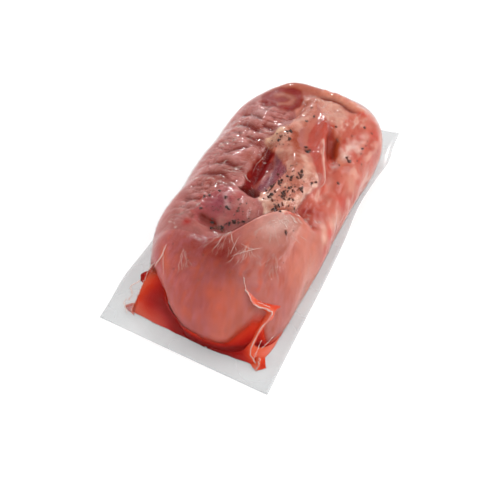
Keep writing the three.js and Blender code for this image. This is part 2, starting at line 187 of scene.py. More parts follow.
def inside(x, y, outline):
    """How far each place lies inside an outline in plan, below 0 outside it."""
    ring = np.array(outline + outline[:1], float)
    away = beside(x, y, ring)[0]
    (x0, y0), (x1, y1) = ring[:-1].T, ring[1:].T
    level = y[:, None]
    with np.errstate(divide="ignore", invalid="ignore"):
        crossed = ((y0 > level) != (y1 > level)) & (x[:, None] < x0 + (level - y0) * (x1 - x0) / (y1 - y0))
    return np.where(crossed.sum(1) % 2 == 1, away, -away)


def lumps(places, size, seed):
    """Soft seeded noise from -1 to 1, with lumps about size across, which may differ by axis."""
    lattice = np.random.default_rng(seed).uniform(-1, 1, (32, 32, 32))
    scaled = places / size
    cell = np.floor(scaled).astype(int)
    part = scaled - cell
    part = part * part * (3 - 2 * part)
    total = np.zeros(len(places))
    for corner in itertools.product((0, 1), repeat=3):
        at = (cell + corner) % 32
        total += np.prod(np.where(corner, part, 1 - part), axis=1) * lattice[at[:, 0], at[:, 1], at[:, 2]]
    return total


def lip_edge(x):
    return LIP_START + LIP_SWING * blend(-12, 44, x) + LIP_HOOK * blend(52, 66, x)


def lip(x, y):
    in_front = lip_edge(x) - y
    widening = LIP_LEFT_SHARE + (1 - LIP_LEFT_SHARE) * blend(-20, 30, x)
    step = LIP_STEP * widening * (1 - LIP_FADE * blend(46, 60, x))
    dip = LIP_DIP * step
    rounded = np.sin(np.pi / 2 * np.clip(in_front / LIP_ROUND, 0, 1)) * (step + dip) - dip
    front = rounded * blend(*LIP_SLOPE, in_front)
    return np.where(in_front <= 0, -dip * hump(in_front / DIP_WIDTH), front)


def broad_folds(x, y):
    saddle = -SADDLE_DEPTH * hump((x - SADDLE_X) / SADDLE_WIDTH) * hump((y - SADDLE_Y) / SADDLE_LENGTH)
    return sum(fold(x, y, *each) for each in BROAD_FOLDS) + lip(x, y) + saddle


def skin_creases(x, y):
    return sum(crease(x, y, *each) for each in SKIN_CREASES)


def meat_skin(place):
    """Draws places on a box with sides of -1 to 1 out to the meat's skin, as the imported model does."""
    a, b, c = place.T
    fullness = np.where((a < 0) & (b < 0), FRONT_LEFT_FULLNESS, PLAN_FULLNESS)
    plan = (np.abs(a) ** fullness + np.abs(b) ** fullness) ** (1 / fullness)
    full = (plan**TOP_FULLNESS + np.maximum(c, 0) ** TOP_FULLNESS) ** (1 / TOP_FULLNESS)
    rise = np.maximum(c, 0) / full
    tuck = 1 - BASE_TUCK * np.minimum(c, 0) ** 2 * blend(-0.9, -0.5, b)
    along = b * tuck / full
    stretch = np.where(b < 0, FRONT_STRETCH, BACK_STRETCH)
    straight_y = MEAT_Y + LENGTH / 2 * along * (1 + stretch * (1 - along**2))
    straight_x = MEAT_X + WIDTH / 2 * a * tuck / full
    x = straight_x + BACK_RIGHT_BULGE * blend(20, 60, straight_x) * hump((straight_y - 88) / 34)
    y = straight_y + FRONT_LEFT_SETBACK * blend(15, -60, x) * blend(-40, -120, straight_y)
    y -= BACK_LEFT_SETBACK * blend(-10, -62, x) * blend(40, 120, straight_y)
    widest = SIDE_WIDEST + (FRONT_WIDEST - SIDE_WIDEST) * blend(-60, -110, y)
    crown = CROWN - RIGHT_DROP * blend(25, 60, x) * blend(-45, -20, y) * blend(110, 60, y)
    crown += FRONT_RISE * blend(-60, -110, y)
    level = np.where(c < 0, widest + (widest - BASE_HEIGHT) * c, widest + (crown - widest) * rise)
    out = np.column_stack([
        np.sign(a) * np.abs(a / full) ** (PLAN_FULLNESS - 1) / (WIDTH / 2),
        np.sign(b) * np.abs(b / full) ** (PLAN_FULLNESS - 1) / (LENGTH / 2),
        rise ** (TOP_FULLNESS - 1) / (CROWN - widest),
    ])
    out /= np.linalg.norm(out, axis=1)[:, None]
    swell = LONG_SWELL * np.sin(x / 13 + y / 29 + 1.3) * np.sin(y / 17 - level / 23)
    swell += SHORT_SWELL * np.sin(x / 7 - y / 9 + level / 11)
    grounded = blend(BASE_HEIGHT, BASE_HEIGHT + GROUNDED_HEIGHT, level)
    folded = broad_folds(x, y) * blend(*FOLDS_RISE, rise)
    return np.column_stack([x, y, level]) + out * (swell * grounded + folded)[:, None]


def meat_grid():
    """Places on the top and walls of a box from -1 to 1, and the faces that join them round a flat bottom."""
    rim = [(i, 0) for i in range(CELLS_ACROSS)] + [(CELLS_ACROSS, j) for j in range(CELLS_ALONG)]
    rim += [(i, CELLS_ALONG) for i in range(CELLS_ACROSS, 0, -1)]
    rim += [(0, j) for j in range(CELLS_ALONG, 0, -1)]
    top = [(i, j, CELLS_UP) for i in range(CELLS_ACROSS + 1) for j in range(CELLS_ALONG + 1)]
    walls = [(i, j, k) for k in range(CELLS_UP - 1, -1, -1) for i, j in rim]
    row = CELLS_ALONG + 1
    faces = [
        (i * row + j, (i + 1) * row + j, (i + 1) * row + j + 1, i * row + j + 1)
        for i in range(CELLS_ACROSS) for j in range(CELLS_ALONG)
    ]
    upper = [i * row + j for i, j in rim]
    for k in range(CELLS_UP):
        lower = [len(top) + k * len(rim) + step for step in range(len(rim))]
        faces += [
            (lower[here], lower[here + 1 - len(rim)], upper[here + 1 - len(rim)], upper[here])
            for here in range(len(rim))
        ]
        upper = lower
    steps = np.array(top + walls, float)
    middle = len(steps)
    faces += [(upper[here + 1 - len(rim)], upper[here], middle) for here in range(len(rim))]
    return 2 * steps / (CELLS_ACROSS, CELLS_ALONG, CELLS_UP) - 1, faces


def new_object(name, data):
    made = bpy.data.objects.new(name, data)
    bpy.context.scene.collection.objects.link(made)
    return made


def new_piece(name, points, faces):
    """A smooth-shaded mesh object at the origin, from places in millimetres."""
    mesh = bpy.data.meshes.new(name)
    mesh.from_pydata((np.asarray(points) * 0.001).tolist(), [], faces)
    mesh.polygons.foreach_set("use_smooth", [True] * len(mesh.polygons))
    mesh.update()
    return new_object(name, mesh)


def outward(mesh):
    out = np.empty(len(mesh.vertices) * 3, np.float32)
    mesh.vertex_normals.foreach_get("vector", out)
    return out.reshape(-1, 3)


def move_to(mesh, points):
    mesh.vertices.foreach_set("co", (points * 0.001).astype(np.float32).ravel())
    mesh.update()


def colour(red, green, blue):
    """A colour given on the screen's 0 to 255 scale, as light."""
    value = np.array([red, green, blue]) / 255
    return np.where(value <= 0.04045, value / 12.92, ((value + 0.055) / 1.055) ** 2.4)


def keep_colour(mesh, name, shade):
    made = mesh.attributes.new(name, "FLOAT_COLOR", "POINT")
    made.data.foreach_set("color", np.column_stack([shade, np.ones(len(shade))]).astype(np.float32).ravel())


def keep_value(mesh, name, value):
    mesh.attributes.new(name, "FLOAT", "POINT").data.foreach_set("value", value.astype(np.float32))


box_places, meat_faces = meat_grid()
meat_points = np.vstack([meat_skin(box_places), [(MEAT_X, MEAT_Y, BASE_HEIGHT)]])
meat = new_piece("meat", meat_points, meat_faces)


def noise(size, seed):
    """Soft noise over the places of the meat."""
    return lumps(meat_points, size, seed)


# Fine relief: the skin's creases, the fat's raised edge and lumps, the grain of the cut meat, and the
# film's own fine puckers, which are pressed into all of it. Heights and depths are in millimetres.
WANDER, SMALL_WANDER = 1.4, 0.6
UNDER_LIP_DEPTH, KNOB_HEIGHT, GRAIN_HEIGHT, WRINKLE_DEPTH, POCKET_DEPTH = 2.6, 0.9, 0.28, 0.7, 4.0
SKIN_PUCKER, PUCKER, RAW_WALL_SHARE = 0.14, 0.10, 0.6
x, y, z = meat_points.T
out = outward(meat.data)
upper_side = blend(34, 50, z)
grounded = blend(BASE_HEIGHT + 0.5, BASE_HEIGHT + 10, z)
wander_x = x + WANDER * noise(7, 1) + SMALL_WANDER * noise(2.6, 2)
wander_y = y + WANDER * noise(7, 3) + SMALL_WANDER * noise(2.6, 4)
in_fat = blend(-0.6, 1.0, inside(wander_x, wander_y, FAT))
in_band = blend(-0.6, 1.2, inside(wander_x, wander_y, PINK_BAND))
in_raw = blend(-1.5, 2.5, inside(wander_x, wander_y, RAW_MEAT)) * blend(2, 14, z)
in_patch = blend(-3, 3, inside(wander_x, wander_y, LIGHT_PATCH))
in_back_lump = blend(-1.5, 2, inside(wander_x, wander_y, BACK_LUMP))
in_red = blend(-0.5, 2.0, inside(wander_x, wander_y, RED_STRIP))
in_purple = blend(-0.5, 1.5, inside(wander_x, wander_y, PURPLE_STRIP))
in_pocket = blend(-1.5, 2.5, inside(wander_x, wander_y, POCKET))
in_flap = blend(-1, 2.0, inside(wander_x, wander_y, FLAP)) * blend(38, 48, z)
behind_lip = blend(-2, 1.5, y - lip_edge(x)) * blend(30, 44, z)
on_skin = blend(2, -8, x) * blend(-74, -60, y) * blend(78, 70, y) * (1 - in_fat)

creases = skin_creases(x, y) * upper_side
flap_slit = crease(x, y, [(-25, -58), (-20, -60), (-12, -62), (-6, -63)], 1.6, 3.2)
back_crease = crease(x, y, [(-8, 100), (7, 101), (19, 102), (26, 102), (35, 99), (42, 99), (47, 104)],
                     1.4, 2.4)
right_grooves = sum(crease(x, y, *each) for each in (
    ([(31, 70), (33, 64), (35, 57), (38, 50), (40, 42), (43, 28)], 1.3, 3.0),
    ([(38, 66), (38, 58), (40, 51), (43, 40)], 1.1, 2.2),
    ([(41, -2), (40, -10), (40, -18), (38, -28)], 1.0, 2.2),
    ([(22, 36), (25, 33), (27, 31)], 1.2, 3.0),
))
under_lip = -UNDER_LIP_DEPTH * np.exp(-np.abs(y - lip_edge(x) - 0.5) / 2.2) * blend(4, 34, x) * upper_side
knobs = KNOB_HEIGHT * in_fat * (0.5 + 0.6 * noise(5.5, 11) + 0.35 * noise(2.4, 12))
grain = GRAIN_HEIGHT * noise((1.3, 7, 2), 13) * (in_band + in_red + in_purple)
raw_lumps = in_raw * (0.9 * noise((5, 9, 6), 14) + 0.4 * noise((1.8, 4, 2.2), 15))
wrinkles = (1 - np.abs(noise((11, 4.5, 5), 19))) ** 5 + 0.6 * (1 - np.abs(noise((5, 2.6, 3), 20))) ** 4
puckers = (SKIN_PUCKER * noise((3.4, 1.1, 1.6), 16) - WRINKLE_DEPTH * wrinkles * upper_side) * on_skin
puckers = puckers + PUCKER * noise((1.0, 2.6, 1.4), 17)
flap_relief = in_flap * (0.7 + 0.5 * noise(4, 18))
relief = (creases + flap_slit + back_crease + right_grooves + under_lip + knobs + grain + raw_lumps
          + flap_relief
          - POCKET_DEPTH * in_pocket) * upper_side + raw_lumps * (1 - upper_side) * RAW_WALL_SHARE + puckers
wrapped_points = meat_points + out * (relief * grounded)[:, None]

# How deep each place of the top lies below its surroundings, which the film bridges; the colours use it for
# painted shade in hollows and painted highlights on crests
NARROW_EASING, WIDE_EASING = 6, 24
top_count = (CELLS_ACROSS + 1) * (CELLS_ALONG + 1)
eased = wrapped_points[:top_count, 2].reshape(CELLS_ACROSS + 1, CELLS_ALONG + 1).copy()
hollows = []
for rounds in (NARROW_EASING, WIDE_EASING):
    for _ in range(rounds):
        eased[1:-1, 1:-1] = (eased[:-2, 1:-1] + eased[2:, 1:-1] + eased[1:-1, :-2] + eased[1:-1, 2:]) / 4
    depth_below = np.zeros(len(wrapped_points))
    depth_below[:top_count] = eased.ravel() - wrapped_points[:top_count, 2]
    hollows.append(depth_below)
narrow_hollow, hollow = hollows

# The meat's foot draws in under the film, along the front and most of all at the front left corner. Stops
# along X give the height where it starts and how far it goes.
FOOT_X = (-60, -34, -28, -22, -17, -6, 11, 22, 30, 37, 44, 50, 54, 62)
FOOT_TOP = (38, 36, 33, 27, 21, 14.5, 12, 13, 20, 32, 40, 38, 16, 8)
FOOT_DRAW = (16, 17, 17, 15, 12, 8.5, 6.5, 6, 6.5, 8, 9, 8, 3, 2)
FOOT_ROUNDING = 1.3
foot_top = np.interp(x, FOOT_X, FOOT_TOP)
below_top = np.clip((foot_top - z) / foot_top, 0, 1)
drawn_in = np.interp(x, FOOT_X, FOOT_DRAW) * below_top**FOOT_ROUNDING * blend(-89, -102, y)
level_out = out * (1, 1, 0) / np.maximum(np.hypot(out[:, 0], out[:, 1]), 1e-6)[:, None]
meat_points = wrapped_points - level_out * drawn_in[:, None]
move_to(meat.data, meat_points)

# Colours of the tissues are given as they look under the film, and the light that falls on the top, on the
# front and on the left side turns them into the tissue's own.
TOP_LIGHT, FRONT_LIGHT, LEFT_LIGHT, FILM_VEIL = 1.30, 0.94, 1.0, 0.03


def paint(cover, *shade):
    """Lays a colour over the flesh, where cover is from 0 to 1."""
    flesh[:] += np.clip(cover, 0, 1)[:, None] * (colour(*shade) - flesh)


def streak(points, width):
    """How fully a soft-edged line in plan covers each place."""
    line = smooth_line(points)
    return hump(beside(wander_x, wander_y, line)[0] / width)


def spot(middle_x, middle_y, reach, level=None):
    """A soft round spot: at its own height on a wall, or else anywhere on the upper side."""
    away = np.hypot(wander_x - middle_x, wander_y - middle_y)
    if level is None:
        return hump(away / reach) * upper_side
    return hump(np.hypot(away, z - level) / reach)


def paint_streaks(where, mottle, streaks):
    """Soft lines, each with its points, width, colour and cover, mottled by the small noise."""
    for points, width, shade, cover in streaks:
        paint(where * streak(points, width) * cover * (0.8 + mottle * small), *shade)


def paint_spots(spots):
    """Soft round spots, each with its middle, reach, height or None, colour and cover."""
    for middle_x, middle_y, reach, level, shade, cover in spots:
        paint(spot(middle_x, middle_y, reach, level) * cover, *shade)


broad = noise(16, 21)
middling = noise(6, 22)
small = noise(2.4, 23)
fibres = noise((1.4, 8, 3), 24)
veins = noise((5, 11, 6), 25) + 0.5 * noise((2, 5, 3), 28)
on_front = blend(1.5, -2, y - lip_edge(x))

# The front: dusky pink on the left, salmon on the right mound, with orange where juice shows through, painted
# shade in the saddle and a painted highlight on the mound
flesh = np.tile(colour(174, 90, 84), (len(meat_points), 1))
paint(blend(8, 40, x) * 0.8, 204, 126, 116)
paint(hump((x - 44) / 26) * blend(-88, -52, y), 206, 116, 98)
paint(0.5 * blend(-20, -60, x), 168, 94, 92)
flow = noise((4, 6, 9), 33) + 0.5 * noise((1.6, 2.4, 5), 34)
paint(blend(-0.1, 0.9, flow) * 0.6 * blend(-30, 0, x), 190, 88, 64)
paint(blend(0.0, 0.9, -flow) * 0.6 * (1 - 0.6 * blend(0, 30, x)), 182, 104, 108)
hatch = noise((1.5, 3, 8), 35)
paint(blend(0.1, 0.8, hatch) * 0.35, 200, 98, 74)
paint(blend(0.1, 0.8, -hatch) * 0.3, 178, 100, 104)
paint_streaks(1, 0.3, (
    ([(11, -113), (22, -117), (20, -124)], 5, (196, 92, 66), 0.6),
    ([(26, -110), (35, -120), (27, -129)], 6, (200, 96, 68), 0.55),
    ([(45, -47), (60, -23)], 8, (218, 118, 86), 0.5), ([(62, -44), (58, -77)], 6, (222, 126, 92), 0.5),
    ([(-36, -92), (-30, -100), (-26, -108)], 2.2, (192, 96, 68), 0.7),
    # Painted shade in the saddle's hollow and along the crease beneath the right mound
    ([(-12, -80), (2, -84), (14, -90)], 11, (138, 44, 34), 0.9),
    ([(4, -92), (12, -87), (20, -82), (27, -78)], 3, (138, 46, 34), 0.7),
    ([(22, -88), (26, -87), (30, -91), (27, -95)], 3, (222, 142, 132), 0.45),
    ([(30, -82), (34, -79), (37, -85), (38, -95)], 3, (222, 146, 136), 0.45),
    ([(23, -72), (25, -82), (28, -98)], 1.5, (214, 92, 62), 0.6),
    ([(37, -76), (38, -86), (41, -100)], 1.5, (214, 92, 62), 0.6),
))

paint(0.7 * spot(28, -68, 15), 212, 134, 118)
# Painted highlight: the pale sheen of the film on top of the right mound
paint((0.85 * spot(40, -47, 9) + 0.5 * spot(33, -58, 10)) * (1 + 0.3 * middling), 240, 192, 180)

# The skin behind the lip, with ruddy painted shade in its hollows, painted highlights on its crests, and the
# brown-red lump at its far end
paint(behind_lip, 182, 108, 102)
paint(on_skin * (0.3 + 0.6 * broad) * blend(-52, -20, x), 170, 82, 68)
paint(on_skin * (0.1 + 0.5 * noise((17, 11, 12), 29) + 0.2 * middling), 196, 132, 130)
# Painted shade in the skin's hollows and painted highlights on its crests, wide and narrow
paint(on_skin * blend(0.1, 1.3, hollow) * 0.75, 140, 52, 40)
paint(on_skin * blend(0.05, 0.8, -hollow) * 0.4, 208, 146, 140)
paint(on_skin * blend(0.02, 0.3, narrow_hollow) * 0.7, 126, 42, 32)
paint(on_skin * blend(0.02, 0.3, -narrow_hollow) * 0.5, 222, 160, 152)
paint_spots((
    (-29, -68, 3.5, None, (190, 40, 34), 0.8), (-29, -44, 4, None, (200, 62, 44), 0.7),
    (-28, -57, 2.5, None, (196, 60, 48), 0.6), (-18, -24, 6, None, (146, 44, 30), 0.7),
    (-13, 25, 5, None, (152, 54, 38), 0.6), (-12, 8, 7, None, (168, 74, 54), 0.7),
    (-14, -8, 7, None, (132, 38, 26), 0.7), (-10, 36, 4, None, (170, 90, 72), 0.5),
    (-30, 2, 9, None, (160, 72, 60), 0.4), (-24, 46, 8, None, (162, 74, 62), 0.4),
    (-30, -25, 8, None, (168, 80, 66), 0.4),
))
paint(hump((y - 108) / 10) * blend(-46, -20, x) * blend(24, 8, x), 186, 96, 72)
paint(in_back_lump, 148, 54, 30)
# Painted highlight: a pale ring on the back lump's round top
paint(in_back_lump * streak([(-24, 92), (-18, 94), (-11, 90), (-11, 82), (-17, 79)], 2.6) * 0.4,
      206, 138, 120)
paint(in_back_lump * streak([(-4, 74), (-3, 82), (-5, 92)], 3) * 0.6, 140, 58, 44)

# The cut muscle of the right side and the back, marbled with fat
paint(in_raw, 206, 104, 86)
paint(in_raw * blend(0.1, 0.8, veins) * 0.8, 232, 172, 154)
paint(in_raw * blend(0.35, 0.8, noise((4, 7, 5), 26)) * 0.75, 200, 72, 54)
paint(in_raw * blend(20, -30, y) * 0.5, 202, 94, 80)
paint(in_raw * blend(84, 100, y) * 0.5, 214, 134, 112)
paint(in_patch * (0.65 + 0.3 * small), 222, 168, 148)
paint_streaks(upper_side, 0.4, (
    ([(12, 108), (25, 105), (40, 106), (48, 113), (55, 108), (62, 103)], 4, (222, 150, 122), 0.7),
    ([(34, 68), (38, 64), (45, 46), (49, 42)], 2.6, (214, 108, 66), 0.7),
    ([(48, 54), (51, 51), (50, 64), (57, 64)], 3.2, (240, 206, 194), 0.9),
    ([(45, 30), (48, 24), (50, 8), (46, -6)], 2.4, (236, 176, 160), 0.7),
    ([(52, 70), (56, 76), (58, 84)], 2.4, (238, 196, 180), 0.7),
    # Painted shadow under the right end of the lip
    ([(44, -20), (52, -17)], 4, (150, 36, 28), 0.8),
    ([(50, -6), (54, 8), (56, 22)], 2.2, (188, 60, 48), 0.6),
    # Dark red along the right groove: partly the meat's own colour, partly painted shade in the groove
    ([(33, 70), (37, 58), (41, 46), (46, 28)], 3.4, (178, 54, 40), 0.8),
    ([(40, 66), (40, 56), (42, 47)], 1.8, (214, 100, 66), 0.7),
))
paint_spots((
    (46, 100, 4, None, (206, 66, 50), 0.8), (56, 103, 5, None, (210, 74, 56), 0.8),
    (62, 93, 7, 40, (214, 84, 68), 0.8), (54, 75, 5, None, (204, 74, 58), 0.7),
    (54, 56, 4, None, (204, 66, 52), 0.7), (63, 37, 8, 35, (230, 172, 148), 0.7),
    (63, 3, 8, 28, (232, 170, 146), 0.6), (62, 15, 7, 32, (200, 60, 50), 0.6),
    (63, 42, 6, 31, (206, 66, 54), 0.5), (63, -16, 6, 31, (222, 52, 38), 0.8),
    # The spot at (46, 38) is a painted highlight
    (63, -9, 6, 32, (234, 182, 160), 0.7), (46, 38, 3, None, (240, 206, 200), 0.6),
    (63, 60, 9, 22, (226, 160, 140), 0.6), (63, 78, 8, 28, (196, 74, 60), 0.6),
    (62, -26, 5, 34, (236, 186, 164), 0.8), (60, -20, 3.5, 38, (238, 190, 170), 0.7),
    (62, -32, 9, 16, (190, 70, 58), 0.5), (63, 24, 8, 14, (226, 150, 134), 0.5),
))
# Painted shade in the hollows of the cut muscle
paint(in_raw * upper_side * 0.5 * blend(0.2, 1.6, hollow), 176, 56, 42)

# The bare muscle in the middle, the flap and the ridge of fat
ridge_side = beside(x, y, smooth_line([(17, 80), (17, 60), (19, 48), (28, 32), (38, 16)]))[0]
paint(hump(ridge_side / 5) * 0.9 * (1 - in_fat), 200, 112, 92)
paint(in_band, 194, 82, 66)
paint(in_band * streak([(31, 50), (34, 45), (36, 37), (39, 30), (42, 25), (45, 20)], 1.5)
      * (0.6 + 0.5 * small),
      236, 182, 164)
paint(in_band * streak([(21, 46), (24, 38), (32, 28), (38, 18)], 1.6) * 0.7, 190, 84, 74)
paint(in_red, 140, 44, 36)
paint(in_red * blend(0.2, 0.8, middling + 0.3 * fibres), 176, 74, 64)
paint(in_purple, 150, 84, 92)
paint(in_purple * blend(0.1, 0.7, fibres + 0.4 * small), 178, 112, 112)
paint(in_flap, 182, 90, 88)
paint(in_flap * blend(-0.3, 0.6, middling + 0.04 * (x + 2) - 0.02 * (y + 46)), 186, 116, 108)
paint(in_flap * spot(-13, -47, 9) * 0.8, 158, 74, 88)
paint(in_flap * streak([(-5, -30), (-11, -36), (-9, -43), (-5, -48)], 1.6) * 0.6, 214, 172, 170)
paint(in_fat, 212, 134, 114)
paint(in_fat * blend(0.0, 0.7, noise(7, 27)) * 0.8, 182, 92, 70)
paint(in_fat * streak([(10, 44), (14, 36), (19, 26), (22, 12)], 5), 172, 78, 52)
paint(in_fat * streak([(6, 88), (8, 72), (8, 60)], 4) * 0.7, 184, 106, 88)
paint(in_fat * blend(0.2, 0.8, middling + 0.4 * small) * 0.6 * blend(22, -6, y), 240, 196, 172)
# Painted highlights on the fat's raised parts and painted shade in its hollows
paint(in_fat * blend(0.4, 1.0, -hollow) * 0.4, 238, 194, 172)
paint(in_fat * blend(0.1, 0.9, hollow) * 0.5, 172, 80, 58)
paint_streaks(in_fat, 0.5, (
    ([(-8, 32), (-3, 38), (-2, 45)], 4, (232, 190, 158), 0.8),
    ([(37, -30), (40, -12), (42, 4), (41, 12)], 2.4, (240, 202, 186), 0.8),
    ([(14, -34), (22, -40), (34, -41)], 3.6, (242, 204, 182), 0.8),
    ([(26, 22), (32, 12), (34, 2)], 3, (236, 192, 170), 0.6),
    ([(12, -14), (17, -22), (20, -30)], 3, (238, 196, 172), 0.6),
    ([(10, 50), (8, 58), (11, 68)], 2.6, (232, 178, 160), 0.6),
    ([(4, 47), (12, 40), (14, 30)], 1.6, (160, 72, 54), 0.6),
    ([(22, 18), (25, 8), (22, 0)], 1.6, (172, 84, 64), 0.5),
))
# Dark red of the deep pocket: partly the meat's colour, partly painted shade in the pocket
paint(in_pocket, 96, 18, 12)
# Painted shade in the creases and grooves
crease_shade = blend(0.2, 2.4, -(creases + flap_slit + back_crease + right_grooves * 0.6))
paint(0.8 * crease_shade * upper_side, 140, 52, 40)
# Painted shadow in the groove under the lip
paint(blend(0.3, 2.4, -under_lip) * 0.85, 140, 34, 22)
paint(hump((y - 116) / 16) * blend(40, 18, z) * (0.5 + 0.5 * broad) * 0.5, 214, 138, 120)
flesh = flesh * (1 + 0.08 * middling + 0.06 * small + 0.05 * fibres)[:, None]
light = TOP_LIGHT + (FRONT_LIGHT - TOP_LIGHT) * on_front * blend(1.0, 0.75, out[:, 2])
light *= 1 + on_front * (0.34 * blend(0, 0.6, out[:, 0]) - 0.14 * blend(0, -40, x))
light = light + (LEFT_LIGHT - light) * blend(-0.3, -0.8, out[:, 0])
keep_colour(meat.data, "flesh", np.clip((flesh - FILM_VEIL) / light[:, None], 0.002, 0.9))


def new_material(name):
    """A material, its node tree and its Principled shader."""
    made = bpy.data.materials.new(name)
    made.use_nodes = True
    tree = made.node_tree
    return made, tree, tree.nodes["Principled BSDF"]


def set_inputs(tree, node, inputs):
    """Gives each input of a node a plain value or another node's output."""
    for name, value in dict(inputs).items():
        if isinstance(value, bpy.types.NodeSocket):
            tree.links.new(value, node.inputs[name])
        else:
            node.inputs[name].default_value = value


def add_node(tree, kind, inputs=(), **settings):
    """A new node with its settings and inputs."""
    made = tree.nodes.new(kind)
    for name, value in settings.items():
        setattr(made, name, value)
    set_inputs(tree, made, inputs)
    return made


meat_look, tree, flesh_shader = new_material("cured meat")
tissue = add_node(tree, "ShaderNodeAttribute", attribute_name="flesh")
where = add_node(tree, "ShaderNodeTexCoord")
flecks = add_node(tree, "ShaderNodeTexNoise", {"Vector": where.outputs["Object"], "Scale": 900, "Detail": 3})
speckle = add_node(tree, "ShaderNodeMapRange",
                   {"Value": flecks.outputs["Fac"], "From Min": 0.3, "From Max": 0.7,
                                               "To Min": 0.94, "To Max": 1.05})
shaded = add_node(tree, "ShaderNodeVectorMath", {0: tissue.outputs["Color"], 3: speckle.outputs["Result"]},
                  operation="SCALE")
pores = add_node(tree, "ShaderNodeTexNoise", {"Vector": where.outputs["Object"], "Scale": 450, "Detail": 4})
rough = add_node(tree, "ShaderNodeBump",
                 {"Height": pores.outputs["Fac"], "Strength": 0.25, "Distance": 0.0006})
set_inputs(tree, flesh_shader, {
    "Base Color": shaded.outputs["Vector"], "Normal": rough.outputs["Normal"], "Roughness": 0.5,
    "Specular IOR Level": 0.15, "Subsurface Weight": 0.2, "Subsurface Radius": (1.0, 0.35, 0.25),
    "Subsurface Scale": 0.003})
meat.data.materials.append(meat_look)
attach(meat, "root")
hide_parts("tongue")
meat_below = BVHTree.FromPolygons([Vector(p) for p in meat_points], meat_faces)

# Pepper
# Crushed black pepper, strewn on the fat and along the front of the flap before packing. The film holds it.
LARGE_GRAINS = [
    (31, 5, 1.7), (32, 1, 1.5), (26, -4, 1.5), (23, -3, 1.0), (30, -2, 0.8), (20, -7, 1.7), (19, -10, 1.2),
    (14, -12, 1.5), (15, -15, 1.0), (13, 2, 1.0), (11, -15, 0.8), (20, -20, 1.0), (19, -24, 1.4),
    (18, -27, 1.2), (26, -18, 1.5), (27, -21, 1.4), (28, -24, 1.1), (22, -30, 1.1), (29, -28, 1.0),
    (26, -33, 1.3), (25, -35, 1.1), (27, -31, 1.0), (32, -22, 0.8), (34, -20, 0.8), (29, -11, 0.9),
    (28, -13, 0.9), (31, -13, 0.7), (35, -8, 1.2), (37, -9, 1.2), (40, 3, 1.1), (42, 7, 0.9),
    (37, -24, 0.8), (33, -42, 0.9), (7, 43, 1.4), (4, 41, 1.0), (2, 35, 1.1), (1, 32, 1.1), (9, 34, 1.2),
    (15, 73, 0.9), (13, 62, 0.8), (9, 83, 0.6), (22, 36, 1.5), (25, 33, 1.6), (34, 72, 0.8), (39, 63, 0.9),
    (53, 88, 0.8), (59, 90, 0.7), (58, 69, 0.8), (52, 50, 1.1), (54, 48, 1.4), (59, 55, 0.6), (62, 57, 0.6),
    (54, 24, 0.8), (-18, -35, 0.9), (-23, -41, 0.9), (-10, -42, 1.0), (-1, -40, 0.8), (-6, -49, 1.2),
    (-4, -50, 0.9), (3, -48, 0.8), (3, -50, 0.7), (-24, -55, 0.9), (-27, -42, 0.9), (10, -55, 1.0),
    (-14, -97, 0.4), (-22, -104, 0.35), (0, -109, 0.4), (-6, -115, 0.3), (8, -122, 0.35), (20, -100, 0.35),
    (32, -98, 0.3), (40, -84, 0.35), (50, -76, 0.4), (-30, -88, 0.3), (18, -112, 0.35), (27, -70, 0.3),
    (-4, -92, 0.35), (12, -98, 0.3), (4, -58, 1.2), (1, -59, 1.1), (-1, -60, 1.0), (-12, -60, 1.4),
    (-11, -65, 1.2), (-6, -64, 1.4), (-3, -63, 1.3), (-9, -64, 1.1), (7, -57, 0.9), (14, -54, 0.8),
    (18, -52, 0.7), (43, -56, 1.1), (47, -51, 0.5),
]
SMALL_GRAINS, GRAIN_GROWTH, GRAIN_LIFT, SPLINTERS = 150, 1.18, 0.25, (1, 4)
PEPPER_BEDS = [(26, -14, 14, 26, 0.62), (4, 38, 10, 12, 0.14), (-2, -52, 20, 12, 0.18),
               (50, 60, 16, 40, 0.06)]

draw = np.random.default_rng(7)
grains = []
for grain_x, grain_y, radius in LARGE_GRAINS:
    grains.append((grain_x, grain_y, radius))
    for _ in range(draw.integers(*SPLINTERS)):
        turn, reach = draw.uniform(0, 2 * np.pi), radius * draw.uniform(0.7, 1.5)
        grains.append((grain_x + reach * math.cos(turn), grain_y + reach * math.sin(turn),
                       radius * draw.uniform(0.35, 0.8)))
for bed_x, bed_y, reach_x, reach_y, share in PEPPER_BEDS:
    for _ in range(int(SMALL_GRAINS * share)):
        turn, reach = draw.uniform(0, 2 * np.pi), math.sqrt(draw.uniform())
        grains.append((bed_x + reach_x * reach * math.cos(turn), bed_y + reach_y * reach * math.sin(turn),
                       draw.uniform(0.25, 0.6)))
grain_places, grain_sizes = [], []
for grain_x, grain_y, radius in grains:
    hit = meat_below.ray_cast(Vector((grain_x, grain_y, 120)), Vector((0, 0, -1)))[0]
    grain_places.append(hit + Vector((0, 0, GRAIN_LIFT * radius)))
    grain_sizes.append(radius * GRAIN_GROWTH)
strewn = bpy.data.meshes.new("strewn pepper")
strewn.from_pydata([p * 0.001 for p in grain_places], [], [])
keep_value(strewn, "radius", np.array(grain_sizes) * 0.001)
pepper_bed = new_object("pepper bed", strewn)


def add_ramp(tree, value, shades):
    """Turns a value from 0 to 1 into a colour, by shades at places along the way. The last is at 1."""
    made = add_node(tree, "ShaderNodeValToRGB", {"Fac": value})
    stops = made.color_ramp.elements
    stops.remove(stops[0])
    for position, shade in shades[:-1]:
        stops.new(position).color = (*colour(*shade), 1)
    stops[len(stops) - 1].color = (*colour(*shades[-1][1]), 1)
    return made.outputs["Color"]


